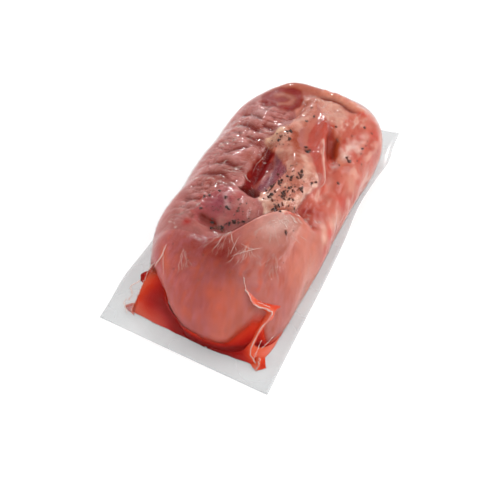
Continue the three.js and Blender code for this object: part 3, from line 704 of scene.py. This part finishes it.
def new_grower(name, sockets):
    """A node tree that grows a piece on its carrier, with these named inputs besides the carrier's shape."""
    tree = bpy.data.node_groups.new(name, "GeometryNodeTree")
    tree.is_modifier = True
    for socket_name, kind in (("Geometry", "Geometry"), *sockets):
        tree.interface.new_socket(socket_name, in_out="INPUT", socket_type="NodeSocket" + kind)
    tree.interface.new_socket("Geometry", in_out="OUTPUT", socket_type="NodeSocketGeometry")
    return tree, add_node(tree, "NodeGroupInput").outputs


pepper_look, tree, pepper_shader = new_material("black pepper")
husk = add_node(tree, "ShaderNodeAttribute", attribute_name="husk")
husk_colour = add_ramp(tree, husk.outputs["Fac"], [(0.4, (56, 28, 20)), (1, (118, 60, 42))])
set_inputs(tree, pepper_shader, {"Base Color": husk_colour, "Roughness": 0.6})

cracker, given = new_grower("cracked pepper", [("Crumple", "Float"), ("Seed", "Int"), ("Look", "Material")])
corn = add_node(cracker, "GeometryNodeMeshIcoSphere", {"Radius": 1.0, "Subdivisions": 2})
turned = add_node(cracker, "FunctionNodeRandomValue", {0: (0, 0, 0), 1: (6.28, 6.28, 6.28),
                                                      "Seed": given["Seed"]}, data_type="FLOAT_VECTOR")
radius_node = add_node(cracker, "GeometryNodeInputNamedAttribute", {"Name": "radius"}, data_type="FLOAT")
stretch = add_node(cracker, "FunctionNodeRandomValue", {0: (0.6, 0.5, 0.4), 1: (1.5, 1.0, 0.8), "Seed": 3},
                   data_type="FLOAT_VECTOR")
sized = add_node(cracker, "ShaderNodeVectorMath", {0: stretch.outputs[0], 3: radius_node.outputs[0]},
                 operation="SCALE")
strew = add_node(cracker, "GeometryNodeInstanceOnPoints", {
    "Points": given["Geometry"], "Instance": corn.outputs["Mesh"], "Rotation": turned.outputs[0],
    "Scale": sized.outputs["Vector"]})
tint = add_node(cracker, "FunctionNodeRandomValue", {2: 0.0, 3: 1.0, "Seed": 5}, data_type="FLOAT")
tinted = add_node(cracker, "GeometryNodeStoreNamedAttribute", {
    "Geometry": strew.outputs["Instances"], "Name": "husk", "Value": tint.outputs[1]},
    data_type="FLOAT", domain="INSTANCE")
real = add_node(cracker, "GeometryNodeRealizeInstances", {"Geometry": tinted.outputs["Geometry"]})
cracks = add_node(cracker, "ShaderNodeTexNoise", {"Scale": 1100.0, "Detail": 1.0})
centred = add_node(cracker, "ShaderNodeVectorMath", {0: cracks.outputs["Color"], 1: (0.5, 0.5, 0.5)},
                   operation="SUBTRACT")
crumpled = add_node(cracker, "ShaderNodeVectorMath", {0: centred.outputs["Vector"], 3: given["Crumple"]},
                    operation="SCALE")
shaped = add_node(cracker, "GeometryNodeSetPosition", {"Geometry": real.outputs["Geometry"],
                                                       "Offset": crumpled.outputs["Vector"]})
painted = add_node(cracker, "GeometryNodeSetMaterial", {"Geometry": shaped.outputs["Geometry"],
                                                        "Material": given["Look"]})
add_node(cracker, "NodeGroupOutput", {"Geometry": painted.outputs["Geometry"]})


def grow(carrier, tree, name, **values):
    """Runs a node tree on its carrier with these named inputs, and keeps the result as a plain mesh piece."""
    maker = carrier.modifiers.new(tree.name, "NODES")
    maker.node_group = tree
    for item in tree.interface.items_tree:
        if item.in_out == "INPUT" and item.name in values:
            maker[item.identifier] = values[item.name]
    shown = carrier.evaluated_get(bpy.context.evaluated_depsgraph_get())
    mesh = bpy.data.meshes.new_from_object(shown)
    carrier.modifiers.remove(maker)
    bpy.data.objects.remove(carrier)
    mesh.name = name
    return new_object(name, mesh)


pepper = grow(pepper_bed, cracker, "pepper", Crumple=0.0014, Seed=11, Look=pepper_look)
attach(pepper, "root")

# Gussets and juice
# Where the film had slack at the pack's corners it stands out from the meat in folded webs. Cure and meat
# juice has run in behind them. A web is drawn from stops down its free edge, each with a place on the meat to
# either side, how far both faces sink in, and how deep the juice behind them is, from one side to the other.
# That depth sets how dark the juice is, and it also carries painted light and shade: a painted lit face, pale
# salmon, near the free edge and painted shade in the hollow behind it.
FOOT = 1.1
GUSSETS = {
    "front_left": [
        ((-36, -94, 40), (-38, -86, 36), (-33, -95, 38), (0, 0.5), (0.1, 0.1, 0.15, 0.12, 0.2, 0.25, 0.25)),
        ((-44, -100, 29), (-45, -88, 28), (-32, -102, 30), (1, 2), (0.15, 0.2, 0.2, 0.12, 0.16, 0.4, 0.4)),
        ((-47, -106, 18), (-46, -91, 18), (-25, -111, 20), (2, 4.5), (0.3, 0.4, 0.3, 0.16, 0.5, 0.86, 0.42)),
        ((-49, -114, 9), (-46, -93, 10), (-17, -119, 12), (2, 5), (0.3, 0.4, 0.3, 0.3, 0.76, 0.95, 0.6)),
        ((-50, -122, FOOT), (-46, -96, FOOT), (14, -130, FOOT), (0, 0),
         (0.2, 0.3, 0.2, 0.24, 0.5, 0.95, 1.0)),
    ],
    "front_left_tip": [
        ((-46, -101, 26), (-44, -98, 25), (-44, -103, 25), (0, 0), (0.8, 0.8, 0.9, 0.8, 0.7, 0.5, 0.4)),
        ((-50.5, -103, 22), (-46, -99, 22), (-45, -104, 22), (1.4, 1), (1, 1, 1, 0.9, 0.8, 0.7, 0.4)),
        ((-49.5, -105, 18), (-47, -102, 17), (-46.5, -106, 17), (0, 0), (1, 1, 1, 1, 1, 0.6, 0.4)),
    ],
    "front_left_tail": [
        ((-51, -118, 6), (-49, -116, 5), (-48, -119, 6), (0, 0), (0.1, 0.1, 0.1, 0.1, 0.2, 0.2, 0.2)),
        ((-55, -120, 4), (-50, -117, 3), (-48, -122, 3), (1, 1.5), (0.2, 0.1, 0.1, 0.05, 0.6, 0.1, 0.3)),
        ((-56, -121, FOOT), (-51, -117, FOOT), (-46, -125, FOOT), (0, 0),
         (0.3, 0.1, 0.1, 0.05, 0.5, 0.1, 0.2)),
    ],
    "front_right": [
        ((29, -98, 53), (26, -90, 48), (34, -92, 48), (0, 0.5), (0.15, 0.2, 0.15, 0.05, 0.1, 0.12, 0.1)),
        ((34, -105, 48), (29, -97, 44), (42, -95, 43), (0, 0.5), (0.15, 0.2, 0.25, 0.05, 0.1, 0.1, 0.1)),
        ((43, -110.5, 41.5), (33, -104, 37), (50, -97, 38), (0, 1), (0.2, 0.35, 0.4, 0.08, 0.34, 0.22, 0.1)),
        ((54, -106, 34), (34, -108, 28), (58, -92, 30), (0, 1), (0.3, 0.42, 0.45, 0.1, 0.36, 0.36, 0.18)),
        ((50, -117, 25), (33, -114, 19), (60, -90, 20), (0, 0.5), (0.36, 0.45, 0.46, 0.12, 0.02, 0.02, 0.06)),
        ((46.5, -126, 10), (26, -123, 9), (60, -92, 8), (1, 1), (0.75, 0.85, 0.7, 0.2, 0.2, 0.14, 0.1)),
        ((54, -130, FOOT), (14, -130, FOOT), (58, -110, FOOT), (0, 0), (1.0, 1.0, 0.8, 0.3, 0.2, 0.12, 0.08)),
    ],
    "front_right_tip": [
        ((54, -127, 8), (51, -126, 6), (57, -124, 6), (0, 0), (0.3, 0.3, 0.2, 0.1, 0.3, 0.3, 0.3)),
        ((55, -131, 4), (50, -128, 3), (59, -128, 3), (0, 0), (0.4, 0.3, 0.2, 0.05, 0.5, 0.5, 0.4)),
        ((54, -134, FOOT), (48, -130, FOOT), (60, -129, FOOT), (0, 0), (0.3, 0.2, 0.1, 0.05, 0.4, 0.4, 0.3)),
    ],
    "back_left": [
        ((-42, 112, 34), (-44, 100, 30), (-30, 112, 30), (0.5, 0.5), (0.1, 0.1, 0.1, 0.05, 0.1, 0.1, 0.1)),
        ((-48, 118, 18), (-52, 98, 18), (-28, 118, 18), (2, 2), (0.2, 0.2, 0.15, 0.05, 0.15, 0.2, 0.2)),
        ((-51, 125, FOOT), (-54, 98, FOOT), (-24, 124, FOOT), (0, 0), (0.4, 0.3, 0.2, 0.05, 0.2, 0.3, 0.4)),
    ],
    "back_right": [
        ((50, 119, 26), (56, 108, 24), (36, 118, 24), (0.5, 0.5), (0.1, 0.1, 0.1, 0.05, 0.1, 0.1, 0.1)),
        ((54, 125, 14), (60, 104, 14), (32, 122, 14), (2, 2), (0.2, 0.2, 0.15, 0.05, 0.15, 0.2, 0.2)),
        ((57, 132, FOOT), (61, 102, FOOT), (26, 127, FOOT), (0, 0), (0.4, 0.3, 0.2, 0.05, 0.2, 0.3, 0.4)),
    ],
}
WEB_ROWS, WEB_COLUMNS, WEB_CRUMPLE = 56, 20, 0.75
PACK_MIDDLE = (0, -60, 0)


def web(stops):
    """Rows of places from one side of a gusset out to its edge and back to the other side, top to foot, and
    the depth of the juice behind each, which also carries its painted light and shade."""
    edge, first, second = (smooth_line([stop[k] for stop in stops], WEB_ROWS) for k in range(3))
    steps = np.linspace(0, len(stops) - 1, WEB_ROWS + 1)
    sinks = np.array([[np.interp(step, range(len(stops)), [stop[3][face] for stop in stops])
                       for face in (0, 1)]
                      for step in steps])
    columns = []
    for side, face, shares in ((first, 0, np.linspace(0, 1, WEB_COLUMNS + 1)[:-1]),
                               (second, 1, np.linspace(1, 0, WEB_COLUMNS + 1))):
        run = edge - side
        across = np.column_stack([-run[:, 1], run[:, 0], np.zeros(len(run))])
        across /= np.maximum(np.linalg.norm(across, axis=1), 1e-6)[:, None]
        towards = np.sign((across * (PACK_MIDDLE - side)).sum(1))
        for share in shares:
            sunk = sinks[:, face] * math.sin(math.pi * share**0.8) ** 1.2
            columns.append(side + run * share + across * (towards * sunk)[:, None])
    depth_columns = np.linspace(0, 6, 2 * WEB_COLUMNS + 1)
    depth_and_shade = np.array([np.interp(depth_columns, range(7), [
        np.interp(step, range(len(stops)), [stop[4][k] for stop in stops])
        for k in range(7)]) for step in steps])
    return np.stack(columns, axis=1), depth_and_shade


def crumpled_web(stops, stand_off):
    """A web with the small crumples of slack film, which fade out towards the table and along its edge."""
    shape, depth_and_shade = web(stops)
    flat = shape.reshape(-1, 3)
    share = np.abs(np.linspace(-1, 1, shape.shape[1]))
    loose = np.tile(blend(0, 0.15, share) * blend(1, 0.8, share), shape.shape[0])
    loose = loose * (0.7 + 0.3 * blend(FOOT, 8, flat[:, 2]))
    ripple = WEB_CRUMPLE * (lumps(flat, (6, 5, 3), 41) + 0.5 * lumps(flat, (2.4, 2.4, 1.6), 42)) * loose
    away = flat - (5, -60, 20)
    away[:, 2] = 0
    away /= np.linalg.norm(away, axis=1)[:, None]
    raised = flat + away * (ripple + stand_off * blend(FOOT, 6, flat[:, 2]))[:, None]
    return raised, depth_and_shade.ravel(), shape.shape[1]


def wedge_faces(rows, columns):
    """Faces that close the rows of a wedge into a tube, with a lid at its top and its foot."""
    faces = [
        (r * columns + c, (r + 1) * columns + c, (r + 1) * columns + (c + 1) % columns,
         r * columns + (c + 1) % columns)
        for r in range(rows - 1) for c in range(columns)
    ]
    return faces + [tuple(range(columns)), tuple(range(rows * columns - 1, (rows - 1) * columns - 1, -1))]


def face_outwards(made):
    shape = bmesh.new()
    shape.from_mesh(made.data)
    bmesh.ops.recalc_face_normals(shape, faces=shape.faces)
    shape.to_mesh(made.data)
    shape.free()


juice_look, tree, juice_shader = new_material("meat juice")
depth = add_node(tree, "ShaderNodeAttribute", attribute_name="depth")
# Thin juice is pale salmon and deep juice dark red; in the gussets the depth also paints the lit face near
# the free edge and the shade in the hollow behind it
blood = add_ramp(tree, depth.outputs["Fac"], [
    (0, (222, 126, 112)), (0.2, (214, 88, 58)), (0.4, (204, 50, 20)), (0.65, (172, 20, 8)), (1, (124, 8, 4))])
cover = add_node(tree, "ShaderNodeAttribute", attribute_name="cover")
set_inputs(tree, juice_shader, {"Base Color": blood, "Alpha": cover.outputs["Fac"], "Roughness": 0.3,
                                "Specular IOR Level": 0.05})

for corner, corner_stops in GUSSETS.items():
    points, depth_and_shade, columns = crumpled_web(corner_stops, 0)
    juice = new_piece(corner + "_juice", points, wedge_faces(WEB_ROWS + 1, columns))
    if corner.startswith("back"):
        cover = 0.12 + 0.4 * blend(0, 0.6, depth_and_shade)
    else:
        cover = 0.75 + 0.22 * blend(0, 0.15, depth_and_shade)
    if corner == "front_left_tail":
        cover *= 0.55
    if corner == "front_left":
        clear_top = blend(20, 31, points[:, 2])
        clear_foot = blend(9, 1, points[:, 2] + 2 * lumps(points, 4, 44))
        clear_foot *= blend(-14, -26, points[:, 0])
        cover *= 1 - 0.88 * clear_top - 0.12 * clear_foot
        depth_and_shade = depth_and_shade * (1 - 0.3 * clear_foot)
    keep_value(juice.data, "depth", depth_and_shade)
    keep_value(juice.data, "cover", cover)
    face_outwards(juice)
    juice.data.materials.append(juice_look)
    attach(juice, "root")

# The juice along the foot fills the space between the film and the meat that is drawn in there. Left of the
# middle the film itself follows the meat in, behind the front left web.
film_follows = blend(-2, -20, x)
film_inside = wrapped_points - level_out * (drawn_in * film_follows)[:, None]
gap = drawn_in * (1 - film_follows)
wet_faces = [face for face in meat_faces if len(face) == 4 and max(gap[k] for k in face) > 0.04]
edges = {}
for face in wet_faces:
    for here, after in zip(face, face[1:] + face[:1]):
        edges[(here, after)] = edges.get((here, after), 0) + 1
used = sorted({k for face in wet_faces for k in face})
number = {k: place for place, k in enumerate(used)}
count = len(used)
shell = [tuple(number[k] for k in face) for face in wet_faces]
shell += [tuple(number[k] + count for k in reversed(face)) for face in wet_faces]
shell += [(number[after], number[here], number[here] + count, number[after] + count)
          for here, after in edges if (after, here) not in edges]
juice_places = [film_inside[used] + 0.1 * out[used], meat_points[used] - 0.5 * out[used]]
foot_juice = new_piece("foot_juice", np.vstack(juice_places), shell)
clearing = 4.5 + 5 * blend(22, 40, x[used]) * blend(8, 16, z[used])
full_cover = 1.3 + 1.2 * blend(18, 36, x[used])
keep_value(foot_juice.data, "depth", np.tile(0.25 + gap[used] / clearing, 2))
keep_value(foot_juice.data, "cover", np.tile(0.97 * blend(0.05, full_cover, gap[used]), 2))
foot_juice.data.materials.append(juice_look)
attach(foot_juice, "root")

# The upper film
# Clear film, drawn down by the vacuum. It lies on the meat, bridges the deep grooves and is puckered by its
# own slack, so that it glitters in fine lines.
FILM_STANDOFF, FILM_BRIDGE, LOWEST_FILM = 0.45, 0.45, 0.9
GUSSET_STANDOFF, GUSSET_GLOSS = 0.35, 0.28
film_points = film_inside.copy()
film_points[:, 2] += FILM_BRIDGE * np.maximum(hollow, 0)
upper_film = new_piece("upper_film", film_points, meat_faces)
slack = 0.4 + 0.6 * blend(-0.1, 0.5, lumps(film_points, 22, 30)) + 0.8 * on_skin
across_pinch, along_pinch = lumps(film_points, (5, 1.6, 2.2), 31), lumps(film_points, (1.5, 4, 2), 32)
pinch = slack * (0.34 * np.abs(across_pinch) + 0.26 * np.abs(along_pinch))
film_points = film_points + outward(upper_film.data) * (FILM_STANDOFF + pinch * grounded)[:, None]
film_points[:, 2] = np.maximum(film_points[:, 2], LOWEST_FILM)
move_to(upper_film.data, film_points)

film_look = bpy.data.materials.new("clear film")
film_look.use_nodes = True
tree = film_look.node_tree
tree.nodes.clear()
where = add_node(tree, "ShaderNodeTexCoord")
creep = add_node(tree, "ShaderNodeTexNoise", {"Vector": where.outputs["Object"], "Scale": 330, "Detail": 3,
                                              "Distortion": 1.5})
puckered = add_node(tree, "ShaderNodeBump",
                    {"Height": creep.outputs["Fac"], "Strength": 0.28, "Distance": 0.0006})
facing = add_node(tree, "ShaderNodeLayerWeight", {"Blend": 0.5, "Normal": puckered.outputs["Normal"]})
grazing = add_node(tree, "ShaderNodeMath", {0: facing.outputs["Facing"], 1: 4.5}, operation="POWER")
bare = add_node(tree, "ShaderNodeMapRange", {"Value": grazing.outputs[0], "To Min": 0.024, "To Max": 0.7})
share = add_node(tree, "ShaderNodeAttribute", attribute_name="gloss")
gleam = add_node(tree, "ShaderNodeMath", {0: bare.outputs["Result"], 1: share.outputs["Fac"]},
                 operation="MULTIPLY")
gloss = add_node(tree, "ShaderNodeBsdfGlossy", {"Roughness": 0.07, "Normal": puckered.outputs["Normal"]})
through = add_node(tree, "ShaderNodeBsdfTransparent", {"Color": (0.98, 0.98, 0.98, 1)})
mixed = add_node(tree, "ShaderNodeMixShader",
                 {0: gleam.outputs[0], 1: through.outputs[0], 2: gloss.outputs[0]})
add_node(tree, "ShaderNodeOutputMaterial", {"Surface": mixed.outputs[0]})
wet = np.clip(drawn_in, 0, 1)
in_groove = hump(beside(x, y, smooth_line(RIGHT_GROOVE[0]))[0] / 5)
dull = 0.85 * wet + 0.7 * in_pocket + 0.5 * in_red + 0.5 * in_purple + 0.7 * in_groove + 0.8 * in_back_lump
dull += 0.6 * hump((x - SADDLE_X) / SADDLE_WIDTH) * hump((y - SADDLE_Y) / 16)
keep_value(upper_film.data, "gloss", np.clip(1 - dull, 0.1, 1))
upper_film.data.materials.append(film_look)
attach(upper_film, "root")

for corner, corner_stops in GUSSETS.items():
    points, _, columns = crumpled_web(corner_stops, GUSSET_STANDOFF)
    gusset = new_piece(corner + "_gusset", points, wedge_faces(WEB_ROWS + 1, columns))
    face_outwards(gusset)
    keep_value(gusset.data, "gloss", np.full(len(points), GUSSET_GLOSS))
    gusset.data.materials.append(film_look)
    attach(gusset, "root")

# Pleats
# Fine pinched folds of the same film, coloured pale as painted glints of the light they catch, in thin pale
# lines: drawn ones where the photo shows them, and strewn ones where the film had slack to lose. Each follows
# the film under it.
PLEATS = [
    ([(1, -64), (3, -79), (1, -87)], 0.2), ([(15, -73), (15, -81), (15, -89)], 0.16),
    ([(16, -90), (22, -85), (29, -79), (34, -75)], 0.2), ([(19, -79), (25, -80), (29, -79)], 0.18),
    ([(47, -56), (51, -56), (54, -55)], 0.20), ([(52, -51), (54, -49), (56, -47)], 0.18),
    ([(-35, -89), (-36, -97), (-42, -101)], 0.5), ([(-37, -90), (-33, -99), (-29, -107)], 0.22),
    ([(31, 51), (35, 42), (38, 31)], 0.3), ([(43, 24), (46, 16), (45, 8)], 0.3),
    ([(-5, 27), (-6, 17), (-7, 8), (-6, -2)], 0.16),
]
# Places of painted glints, each strewn with a few short pale pleats
GLEAMS = [
    (38, -46), (41, -50), (36, -52), (44, -38), (39, -44), (33, -50), (50, -30), (47, -22), (40, -48),
    (37, -49), (43, -44), (42, -27), (45, -26), (55, -20), (45, -41), (-43, -20), (-46, -22), (-30, -23),
    (-23, -26), (-27, -53), (-30, -51), (-41, -67), (-38, -73), (-39, 19), (-40, 17), (-38, 7), (-34, 25),
    (-30, 20), (-40, 45), (-36, 40), (-30, -6), (46, 38), (21, 76), (29, 69), (1, 94), (10, 96), (-6, 17),
    (-5, -11),
]
# Fans of short pleats: the middle, how many, how far they reach, the way they turn and their spread
FANS = [
    (4, -64, 44, 26, -90, 70), (30, -52, 20, 18, -80, 70), (24, -78, 26, 16, -70, 100),
    (-20, -92, 18, 16, -60, 50), (42, -74, 16, 16, -80, 60), (-34, -60, 14, 12, 170, 90),
    (-32, 30, 26, 40, 0, 60), (-30, -12, 22, 24, 10, 60), (48, 60, 16, 40, 80, 80),
    (50, -10, 10, 24, 100, 60), (0, 88, 10, 10, 60, 90),
]
PLEAT_STEPS, EDGE_STEPS, FREE_STEPS, PLEATS_A_GLEAM = 14, 40, 24, 3
film_below = BVHTree.FromPolygons([Vector(p) for p in film_points], meat_faces)
pleat_draw = np.random.default_rng(19)
pleats = [(smooth_line(points, PLEAT_STEPS), thickness) for points, thickness in PLEATS]


def short_pleat(middle_x, middle_y, turn, length):
    """A slightly bent line in plan."""
    share = np.linspace(-0.5, 0.5, 8)
    bend = pleat_draw.uniform(-0.25, 0.25) * length
    along, aside = share * length, bend * (1 - 4 * share**2)
    return np.column_stack([middle_x + along * math.cos(turn) - aside * math.sin(turn),
                            middle_y + along * math.sin(turn) + aside * math.cos(turn)])


for gleam_x, gleam_y in GLEAMS:
    for _ in range(PLEATS_A_GLEAM):
        pleats.append((short_pleat(gleam_x + pleat_draw.normal(0, 1.5), gleam_y + pleat_draw.normal(0, 1.5),
                                   pleat_draw.uniform(-0.9, 0.9), pleat_draw.uniform(1, 3.5)),
                       pleat_draw.uniform(0.18, 0.42)))
for fan_x, fan_y, fan_count, reach, turn, spread in FANS:
    for _ in range(fan_count):
        angle = math.radians(turn + pleat_draw.uniform(-spread, spread) / 2)
        start, length = pleat_draw.uniform(0.1, 1) * reach, pleat_draw.uniform(3, 9)
        pleats.append((short_pleat(fan_x + start * math.cos(angle), fan_y + start * math.sin(angle), angle,
                                   length),
                       pleat_draw.uniform(0.06, 0.13)))
pleat_places, pleat_edges, pleat_radii = [], [], []


def add_pleat(places, radii):
    first = len(pleat_places)
    pleat_places.extend(places)
    pleat_radii.extend(radii)
    pleat_edges.extend((first + k, first + k + 1) for k in range(len(places) - 1))


def add_ridge(points, steps, thickness, wobble, thickest):
    """A pleat that stands free of the meat, along a smooth line that wobbles a little."""
    ridge = smooth_line(points, steps)
    add_pleat([Vector(place + pleat_draw.normal(0, wobble, 3)) for place in ridge],
              [thickness * pleat_draw.uniform(0.3, thickest) for _ in ridge])


for line, thickness in pleats:
    drawn = []
    for step, (line_x, line_y) in enumerate(line):
        hit = film_below.ray_cast(Vector((line_x, line_y, 120)), Vector((0, 0, -1)))[0]
        if hit is not None:
            drawn.append((hit, thickness * math.sin(math.pi * (0.08 + 0.84 * step / (len(line) - 1)))))
    add_pleat([place for place, _ in drawn], [radius for _, radius in drawn])
for corner, thickness in (
    ("front_left", 0.3), ("front_right", 0.45), ("front_left_tail", 0.25), ("front_right_tip", 0.3),
):
    add_ridge([stop[0] for stop in GUSSETS[corner]], EDGE_STEPS, thickness, 0.35, 1.5)
for points, thickness in (
    ([(-52, -99, 14), (-57, -98, 5), (-61, -103, 3), (-57, -108, 2.4), (-57, -114, 2.2)], 0.6),
    ([(-59, -114, 2), (-58, -118, 3), (-55, -122, 3), (-52, -125, 1.6)], 0.5),
    ([(50, -128, 4), (51, -125, 10), (52, -119, 17)], 0.3),
    ([(57, -108, 12), (55, -115, 11), (53, -121, 10)], 0.3),
    ([(42, -110.6, 42), (46, -109.6, 40), (50, -107.4, 37), (54, -106, 34)], 0.4),
    ([(44, -108, 42), (48, -106.5, 40), (52, -104.5, 37)], 0.3),
):
    add_ridge(points, FREE_STEPS, thickness, 0.2, 1.3)
pleat_lines = bpy.data.meshes.new("pleat lines")
pleat_lines.from_pydata([place * 0.001 for place in pleat_places], pleat_edges, [])
keep_value(pleat_lines, "thickness", np.array(pleat_radii) * 0.001)
pleat_carrier = new_object("pleat lines", pleat_lines)

pleat_look, tree, pleat_shader = new_material("pinched film with painted glints")
# The pleats' pale colour is a painted highlight, the glint that the folds would catch
set_inputs(tree, pleat_shader, {"Base Color": (*colour(250, 222, 210), 1), "Roughness": 0.15, "Alpha": 0.42})

pleater, given = new_grower("film pleats", [("Sides", "Int"), ("Look", "Material")])
spine = add_node(pleater, "GeometryNodeMeshToCurve", {"Mesh": given["Geometry"]})
thick = add_node(pleater, "GeometryNodeInputNamedAttribute", {"Name": "thickness"}, data_type="FLOAT")
section = add_node(pleater, "GeometryNodeCurvePrimitiveCircle", {"Resolution": given["Sides"], "Radius": 1.0},
                   mode="RADIUS")
pinched = add_node(pleater, "GeometryNodeCurveToMesh", {
    "Curve": spine.outputs["Curve"], "Profile Curve": section.outputs["Curve"], "Scale": thick.outputs[0],
    "Fill Caps": True})
real = add_node(pleater, "GeometryNodeRealizeInstances", {"Geometry": pinched.outputs["Mesh"]})
painted = add_node(pleater, "GeometryNodeSetMaterial", {"Geometry": real.outputs["Geometry"],
                                                        "Material": given["Look"]})
add_node(pleater, "NodeGroupOutput", {"Geometry": painted.outputs["Geometry"]})
film_pleats = grow(pleat_carrier, pleater, "film_pleats", Sides=5, Look=pleat_look)
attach(film_pleats, "root")

# The lower film
# A flat clear sheet under the meat, as wide as the pack, to which the upper film is heat-sealed. Its edges
# lift off the table in slow waves.
FILM_WIDTH, FILM_LENGTH, FILM_THICKNESS = 144, 297, 0.3
FRONT_SKEW, BACK_SKEW, EDGE_INSET = 13, 18, 3
EDGE_LIFT, LIFT_GAP, LIFT_WAVE = 2.2, 3, 19
SHEET_ROWS, SHEET_COLUMNS = 120, 48


def sheet_place(across, along):
    """Where a place of the sheet lies, by its shares of the way across and along, and how far it lifts."""
    left_y = (-FILM_LENGTH / 2 + FRONT_SKEW) * (1 - along) + (FILM_LENGTH / 2 - BACK_SKEW) * along
    right_y = -FILM_LENGTH / 2 * (1 - along) + FILM_LENGTH / 2 * along
    wave = 3 * hump((right_y - 108) / 16) - 3 * hump((right_y - 48) / 30)
    left_x = -(FILM_WIDTH / 2 - EDGE_INSET + 2 * hump((left_y + 96) / 22))
    right_x = FILM_WIDTH / 2 - EDGE_INSET + wave
    x, y = left_x + (right_x - left_x) * across, left_y + (right_y - left_y) * across
    out_there = blend(WIDTH / 2 + LIFT_GAP, FILM_WIDTH / 2, np.abs(x))
    lift = EDGE_LIFT * out_there * (0.5 + 0.5 * np.sin(y / LIFT_WAVE + np.sign(x)))
    return x, y, lift


across, along = np.meshgrid(np.linspace(0, 1, SHEET_COLUMNS + 1), np.linspace(0, 1, SHEET_ROWS + 1))
sheet_x, sheet_y, sheet_lift = sheet_place(across.ravel(), along.ravel())
sheet_points = np.column_stack([sheet_x, sheet_y, sheet_lift + FILM_THICKNESS])
row = SHEET_COLUMNS + 1
sheet_faces = [(r * row + c, r * row + c + 1, (r + 1) * row + c + 1, (r + 1) * row + c)
               for r in range(SHEET_ROWS) for c in range(SHEET_COLUMNS)]
lower_film = new_piece("lower_film", sheet_points, sheet_faces)
body = lower_film.modifiers.new("thickness", "SOLIDIFY")
body.thickness, body.offset = FILM_THICKNESS * 0.001, 0

sheet_look, tree, sheet_shader = new_material("milky clear film")
where = add_node(tree, "ShaderNodeTexCoord")
cloud = add_node(tree, "ShaderNodeTexNoise", {"Vector": where.outputs["Object"], "Scale": 15, "Detail": 2,
                                              "Distortion": 0.2})
milk = add_node(tree, "ShaderNodeMapRange", {"Value": cloud.outputs["Fac"], "From Min": 0.3, "From Max": 0.7,
                                             "To Min": 0.3, "To Max": 0.48})
set_inputs(tree, sheet_shader, {"Base Color": (*colour(200, 203, 204), 1), "Roughness": 0.2,
                                "Alpha": milk.outputs["Result"]})
lower_film.data.materials.append(sheet_look)
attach(lower_film, "root")
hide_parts("film")

# The studio
# A plain pale table and backdrop, one broad soft light from the back right, a second low at the back left and
# a pale sky that fills the shadows.
TABLE_REACH, TABLE_LEVEL = 2500, -0.2
table_corners = [(TABLE_REACH * right, TABLE_REACH * back, TABLE_LEVEL)
                 for right, back in ((-1, -1), (1, -1), (1, 1), (-1, 1))]
table = new_piece("table", table_corners, [(0, 1, 2, 3)])
table_look, tree, table_shader = new_material("pale table")
set_inputs(tree, table_shader, {"Base Color": (0.62, 0.62, 0.62, 1), "Roughness": 0.9,
                                "Emission Color": (1, 1, 1, 1), "Emission Strength": 0.42})
table.data.materials.append(table_look)

sky = bpy.data.worlds.new("studio")
bpy.context.scene.world = sky
sky.use_nodes = True
set_inputs(sky.node_tree, sky.node_tree.nodes["Background"], {"Color": (1, 1, 1, 1), "Strength": 0.98})


def softbox(name, place, size, power, aim=(0, 0, 0.03)):
    """A square soft light, in metres and watts, turned towards the pack."""
    lamp = bpy.data.lights.new(name, "AREA")
    lamp.shape = "RECTANGLE"
    lamp.size, lamp.size_y = size
    lamp.energy = power
    made = new_object(name, lamp)
    made.location = place
    made.rotation_euler = (Vector(aim) - Vector(place)).to_track_quat("-Z", "Y").to_euler()


softbox("right", (1.15, 0.5, 0.9), (0.9, 0.9), 10.5)
softbox("sparkle", (-0.68, 1.12, 0.72), (0.15, 0.15), 6)

view = bpy.data.cameras.new("camera")
view.lens, view.sensor_width, view.sensor_fit = 68.4, 36, "HORIZONTAL"
camera = new_object("camera", view)
camera.location = (0.2045, -0.48625, 0.545)
camera.rotation_euler = (math.radians(43), 0, math.radians(23.7))
bpy.context.scene.camera = camera
bpy.context.scene.view_settings.view_transform = "Standard"
